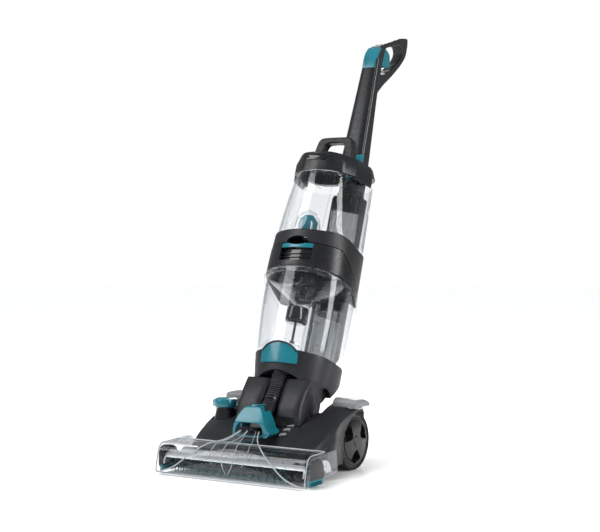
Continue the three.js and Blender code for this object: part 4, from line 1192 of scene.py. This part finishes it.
def make_nozzle_cover():
    half = NOZZLE_HALF_WIDTH
    cover = prism("cover", cover_profile(0, 118), -half, half, "X")
    bevel(cover, 3.0, 4, 40)
    plate_room = prism("plates", rounded(D_PLATE, 5), -half - 5, half + 5, "X")
    cut(cover, prism("hollow", cover_profile(WALL, 130), -half + WALL, half - WALL, "X"),
        block(-165.5, 165.5, 77.5, 200, -10, 100), plate_room,
        block(-half - 5, half + 5, 18, 69, -10, 20))
    rails = []
    for x in (-183, 183):
        path = [(x, p.x, p.y) for p in cover_profile(-0.4, 118)]
        rails.append(tube("rail", path[6:34], 1.3, 8))
    ledge = tube("ledge", [(x, 78, 67.2) for x in range(-182, 183, 14)], 1.5, 8)
    clips = [bevel(block(x - 7, x + 7, 74, 79, 64, 69.5), 0.8, 2) for x in (-140, -95, 95, 140)]
    # The rails and ledge are real clear edges; their pale colour is a painted highlight.
    place(merged("rails", [*rails, ledge]), "nozzle_rails", BASE, "nozzle", PAINTED_HIGHLIGHT_EDGE, "clear_plastic")
    piece = merged("cover", [cover, *clips])
    place(piece, "nozzle_shell", BASE, "nozzle", NOZZLE_CLEAR, "clear_plastic", ["nozzle_cover"], 40)
    outline = [(y + 0.3 * (1 if y < 40 else -1), z + 0.2, r) for y, z, r in D_PLATE]
    plate = prism("plate", rounded(outline, 6), 175, NOZZLE_HALF_WIDTH - 0.2, "X")
    bevel(plate, 1.4, 3, 40)
    place_pair(plate, "d_plate_{}", "nozzle", SATIN, "grey_plastic", ["side_plate_{}"])


def make_brush_cover():
    outer = join(
        bar("front", ROLL_RADIUS + 5, -174, 174, FRONT_ROLL_Y, ROLL_Z, "X", 96),
        bar("rear", ROLL_RADIUS + 5.01, -173.9, 173.9, REAR_ROLL_Y, ROLL_Z, "X", 96),
        block(-173.8, 173.8, FRONT_ROLL_Y, REAR_ROLL_Y, ROLL_Z + 14, ROLL_Z + 20),
    )
    cut(outer,
        bar("front_room", ROLL_RADIUS + 3, -171.5, 171.5, FRONT_ROLL_Y, ROLL_Z, "X", 96),
        bar("rear_room", ROLL_RADIUS + 3.01, -171.4, 171.4, REAR_ROLL_Y, ROLL_Z, "X", 96),
        block(-180, 180, 0, 140, -10, ROLL_Z),
        block(-170, 170, 0, FRONT_ROLL_Y, -10, 35),
        bar("front_bearing", 5.5, -180, 180, FRONT_ROLL_Y, ROLL_Z, "X", 32),
        bar("rear_bearing", 5.5, -180, 180, REAR_ROLL_Y, ROLL_Z, "X", 32),
        block(138, 171, FRONT_ROLL_Y - 12, 140, ROLL_Z - 1, ROLL_Z + 40))
    cut(outer, *[block(x - 0.8, x + 0.8, 0, FRONT_ROLL_Y, ROLL_Z + 25.2, ROLL_Z + 30)
                 for x in (-120, -60, 60, 120)])
    bevel(outer, 0.7, 2, 40)
    place(outer, "roll_cover", BASE, "base", SILVER, "silver_plastic", ["brush_housing"], 30)


def tuft(work, foot, tip, radius, strands, spread, chance):
    """A few tapering filaments from one root."""
    ahead = (tip - foot).normalized()
    side = ahead.orthogonal().normalized()
    other = ahead.cross(side)
    for _ in range(strands):
        angle = chance.uniform(0, 2 * math.pi)
        lean = side * math.cos(angle) + other * math.sin(angle)
        root = foot + lean * chance.uniform(0, radius)
        end = tip + lean * chance.uniform(0, spread) + ahead * chance.uniform(-0.8, 0)
        base = [work.verts.new(root + (side * math.cos(a) + other * math.sin(a)) * 0.42)
                for a in (0, 2.1, 4.2)]
        top = [work.verts.new(end + (side * math.cos(a) + other * math.sin(a)) * 0.26)
               for a in (0, 2.1, 4.2)]
        for k in range(3):
            work.faces.new((base[k], base[(k + 1) % 3], top[(k + 1) % 3], top[k]))
        work.faces.new(top)
        work.faces.new(base[::-1])


def tufts(name, roots, chance, radius=1.3, strands=7, spread=1.6):
    work = bmesh.new()
    for foot, tip in roots:
        tuft(work, Vector(foot), Vector(tip), radius, strands, spread, chance)
    mesh = bpy.data.meshes.new(name)
    work.to_mesh(mesh)
    work.free()
    piece = bpy.data.objects.new(name, mesh)
    bpy.context.scene.collection.objects.link(piece)
    return piece


def make_bristles():
    chance = random.Random(7)
    for name, y, body in (("front", FRONT_ROLL_Y, "front_roll"), ("rear", REAR_ROLL_Y, "rear_roll")):
        roots = {"teal": [], "dark": []}
        for row in range(8):
            for step in range(46):
                x = -161 + 6.3 * step
                angle = 2 * math.pi * row / 8 + 0.9 * math.sin(step / 46 * math.pi)
                out = Vector((0, math.cos(angle), math.sin(angle)))
                centre = Vector((x, y, ROLL_Z))
                pair = (centre + out * 9.8, centre + out * (ROLL_RADIUS - 0.4))
                roots["teal" if (step + row) % 3 else "dark"].append(pair)
        teal = tufts(f"{name}_teal", roots["teal"], chance)
        dark = tufts(f"{name}_dark", roots["dark"], chance)
        place(teal, f"{name}_roll_tufts", BASE, body, BRISTLE, "bristle_nylon", [f"{name}_bristles"])
        place(dark, f"{name}_roll_dark_tufts", BASE, body, BRISTLE_DARK, "bristle_nylon")
    roots = [((x, y, 17), (x + 0.4, y - 0.6, 4.3)) for x in (178, 181.4, 184.8) for y in range(21, 68, 3)]
    edge = tufts("edge", roots, chance, radius=1.1, strands=6, spread=0.9)
    holder = bevel(block(176, 187, 19, 68, 13.6, 17.2), 0.6, 2)
    place_pair(merged("edge", [edge, holder]), "edge_tufts_{}", "nozzle", BRISTLE, "bristle_nylon",
               ["edge_brush_{}"])


# ---------------------------------------------------------------- base: hood and wheels
def make_hood():
    front = rounded([(-41, 82, 1), (-40, 100, 5), (-30, 127, 6), (-17, 144, 5), (17, 144, 5),
                     (30, 127, 6), (41, 100, 5), (50, 93, 2), (50, 89, 2), (41, 82, 1)], 5)
    side = rounded([(79, 80, 0.5), (79, 112, 4), (96, 150, 14), (124, 150, 0.5), (124, 80, 0.5)], 6)
    mouth = rounded([(-35, 70, 0.5), (-34, 99, 6), (-25, 112, 7), (25, 112, 7), (34, 99, 6),
                     (35, 70, 0.5)], 5)
    hood = intersect(prism("hood", front, 76, 120, "Y", 4), prism("side", side, -80, 80, "X"))
    tunnel = rounded([(88, 60), (88, 112, 6), (104, 138, 10), (112, 144, 3), (140, 144), (140, 60)], 4)
    cut(hood, prism("mouth", mouth, 60, 90, "Y"), prism("tunnel", tunnel, -24.5, 24.5, "X"),
        prism("under", [(60, 60), (78, 68), (116, 93), (140, 101), (140, 60)], -90, 90, "X"),
        intersect(prism("roof", [(84, 60), (84, 99), (140, 122), (140, 60)], -41, 41, "X"),
                  block(-41, 41, 84, 140, 0, 100)))
    bevel(hood, 2.0, 4, 25)
    chevron = [(-15, 119), (-7, 119), (0, 103), (7, 119), (15, 119), (2.4, 91), (-2.4, 91)]
    raised = intersect(prism("raised", chevron, 100, 152, "Z"), prism("skin", [
        (82, 118.4), (97.4, 147.2), (124, 147.2), (124, 144.6), (99, 144.6), (84, 116)], -60, 60, "X"))
    bevel(raised, 0.5, 2)
    lip = tube("lip", spline([(-31, 84, 88), (-26, 81.6, 84), (0, 81, 83), (26, 81.6, 84), (31, 84, 88)],
                             40), 2.0, 12)
    place(merged("hood", [hood, raised]), "hood_shell", BASE, "nozzle_hood", TEAL, "teal_plastic",
          ["nozzle_latch"], 25)
    place(lip, "duct_mouth_lip", BASE, "nozzle", TEAL, "teal_plastic")
    # A gloss black sheet behind the mouth: painted shade standing in for the dark inside of the throat.
    place(block(-21, 21, 106.5, 108.5, 99, 128), "throat_shade_sheet", BASE, "base", GLOSS, "black_plastic")


def make_wheel_disc():
    drum = bar("drum", WHEEL_RADIUS - 5, 110, 140, AXLE_Y, WHEEL_RADIUS, "X", 96)
    dome = lathe("dome", [(0, 138), (45, 138), (45, 141.5), (40, 143.4), (20, 144.6), (0, 145)], AXLE_Y,
                 WHEEL_RADIUS, "X", 96)
    wheel = join(drum, dome)
    for i in range(3):
        turn = i * 2 * math.pi / 3 + 0.5
        corners = [(AXLE_Y + r * math.cos(turn + a), WHEEL_RADIUS + r * math.sin(turn + a), 5)
                   for r, a in ((19, 0.25), (44, 0.5), (49, 0), (44, -0.5), (19, -0.25))]
        cut(wheel, prism("pocket", rounded(corners, 6), 127, 150, "X"))
    cut(wheel, lathe("back", [(14, 109), (51, 109), (51, 122), (14, 122), (14, 109)], AXLE_Y,
                     WHEEL_RADIUS, "X", 72), bar("axle", 5.1, 90, 133, AXLE_Y, WHEEL_RADIUS, "X", 32),
        lathe("groove", [(51.6, 138.6), (53.4, 138.6), (53.4, 150), (51.6, 150), (51.6, 138.6)], AXLE_Y,
              WHEEL_RADIUS, "X", 96))
    bevel(wheel, 1.3, 3, 35)
    hub = lathe("hub", [(0, 143), (12, 143), (12, 145.2), (10.5, 146.4), (0, 146.8)], AXLE_Y,
                WHEEL_RADIUS, "X", 48)
    place_pair(merged("wheel", [wheel, hub]), "wheel_disc_{}", "{}_wheel", SATIN, "grey_plastic",
               ["wheel_{}"], 30)


# Pale grey dashes over part of each wheel's rim: a painted highlight where light catches the rim.
def make_rim_painted_highlight():
    highlight_dashes = []
    for step in range(11):
        angle = math.radians(96 + step * 10)
        dash = block(-3.4, 3.4, 54.3, 55.3, 139.2, 140.7)
        turn = Matrix.Rotation(angle - math.pi / 2, 4, "Z")
        onto_wheel = Matrix(((0, 0, 1, 0), (1, 0, 0, AXLE_Y), (0, 1, 0, WHEEL_RADIUS), (0, 0, 0, 1)))
        dash.data.transform(onto_wheel @ turn)
        highlight_dashes.append(dash)
    place_pair(merged("highlight_dashes", highlight_dashes), "rim_painted_highlight_{}", "{}_wheel", PALE, "pale_grey_plastic")


def make_tyre():
    tread = [(WHEEL_RADIUS - 4.6, 108), (WHEEL_RADIUS - 3, 108), (WHEEL_RADIUS - 1, 109),
             (WHEEL_RADIUS, 112)]
    for step in range(5):
        groove = 115 + step * 4.6
        tread += [(WHEEL_RADIUS, groove), (WHEEL_RADIUS - 0.9, groove + 0.5),
                  (WHEEL_RADIUS - 0.9, groove + 1.3), (WHEEL_RADIUS, groove + 1.8)]
    tread += [(WHEEL_RADIUS, 137), (WHEEL_RADIUS - 1, 140), (WHEEL_RADIUS - 3, 141),
              (WHEEL_RADIUS - 4.6, 141), (WHEEL_RADIUS - 4.6, 108)]
    tyre = lathe("tyre", tread, AXLE_Y, WHEEL_RADIUS, "X", 128)
    place_pair(tyre, "tyre_band_{}", "{}_wheel", RUBBER, "belt_rubber", ["tyre_{}"], 25)


# ---------------------------------------------------------------- nodes shown as they are
CARRIED = {"base_plate": DARK, "pivot_shaft": STEEL, "rear_axle": STEEL, "brush_motor": STEEL,
           "drive_belt": RUBBER, "roll_belt": RUBBER, "spray_bar": SATIN, "solution_pump": SATIN,
           "front_roll_core": SATIN, "rear_roll_core": SATIN, "motor_pulley": STEEL,
           "suction_motor": STEEL, "suction_fan": SATIN}


def dress_carried_nodes():
    for node, look in CARRIED.items():
        piece = frame["nodes"][node]
        piece.data.materials.clear()
        piece.data.materials.append(look)


# ---------------------------------------------------------------- set, lights and camera
def make_set():
    floor = make_object("floor", [(12 * math.cos(a), 12 * math.sin(a), -0.0005)
                                  for a in (2 * math.pi * k / 96 for k in range(96))], [tuple(range(96))])
    floor.data.materials.append(floor_material())


def make_world():
    world = bpy.data.worlds.new("studio")
    bpy.context.scene.world = world
    world.use_nodes = True
    tree = world.node_tree
    tree.nodes.clear()
    output = tree.nodes.new("ShaderNodeOutputWorld")
    seen = tree.nodes.new("ShaderNodeBackground")
    seen.inputs["Color"].default_value = (1, 1, 1, 1)
    seen.inputs["Strength"].default_value = 1.0
    fill = tree.nodes.new("ShaderNodeBackground")
    fill.inputs["Color"].default_value = (0.96, 0.98, 1.0, 1)
    fill.inputs["Strength"].default_value = 0.3
    paths = tree.nodes.new("ShaderNodeLightPath")
    mix = tree.nodes.new("ShaderNodeMixShader")
    tree.links.new(paths.outputs["Is Camera Ray"], mix.inputs[0])
    tree.links.new(fill.outputs[0], mix.inputs[1])
    tree.links.new(seen.outputs[0], mix.inputs[2])
    tree.links.new(mix.outputs[0], output.inputs["Surface"])


def area_light(name, place_at, aim_at, width, height, watts):
    data = bpy.data.lights.new(name, "AREA")
    data.shape = "RECTANGLE"
    data.size = width
    data.size_y = height
    data.energy = watts
    lamp = bpy.data.objects.new(name, data)
    lamp.location = place_at
    lamp.rotation_euler = (Vector(aim_at) - Vector(place_at)).to_track_quat("-Z", "Y").to_euler()
    bpy.context.scene.collection.objects.link(lamp)


def make_lights():
    centre = (0, 0, 0.45)
    sky = bpy.data.lights.new("soft_sun", "SUN")
    sky.energy = 3.05
    sky.angle = math.radians(50)
    lamp = bpy.data.objects.new("soft_sun", sky)
    lamp.rotation_euler = (math.radians(22), math.radians(-18), 0)
    lamp.visible_glossy = False
    bpy.context.scene.collection.objects.link(lamp)
    area_light("key", (-1.7, -1.9, 1.9), centre, 1.1, 1.8, 24)
    area_light("side_strip", (1.9, -0.5, 1.2), centre, 0.6, 1.8, 26)
    area_light("rear_strip", (-1.1, 2.0, 1.4), centre, 0.6, 1.8, 20)


def make_camera():
    data = bpy.data.cameras.new("camera")
    data.lens = 80.955
    data.sensor_width = 36
    camera = bpy.data.objects.new("camera", data)
    camera.location = (1.57379, -2.58690, 0.48239)
    camera.rotation_euler = (math.radians(89.0), 0, math.radians(32.44))
    bpy.context.scene.collection.objects.link(camera)
    bpy.context.scene.camera = camera


# ---------------------------------------------------------------- the build
make_lower_housing()
make_neck()
make_latch()
make_dirty_tank()
make_riser()
make_float()
make_cone()
make_separator()
make_spine()
make_lid()
make_lever()
make_frame_band()
make_clean_tank()
make_valve()
make_cap()
make_carry_handle()
make_tank_top_parts()
make_stem()
make_handle()
make_trigger()
make_cord_hooks()
make_base_shell()
make_pedals()
make_port()
make_pivot_barrels()
make_elbow()
make_hose()
make_duct()
make_nozzle_cover()
make_brush_cover()
make_bristles()
make_hood()
make_wheel_disc()
make_rim_painted_highlight()
make_tyre()
dress_carried_nodes()
make_set()
make_world()
make_lights()
make_camera()

bpy.context.scene.view_settings.view_transform = "Standard"
bpy.context.scene.cycles.transparent_max_bounces = 32
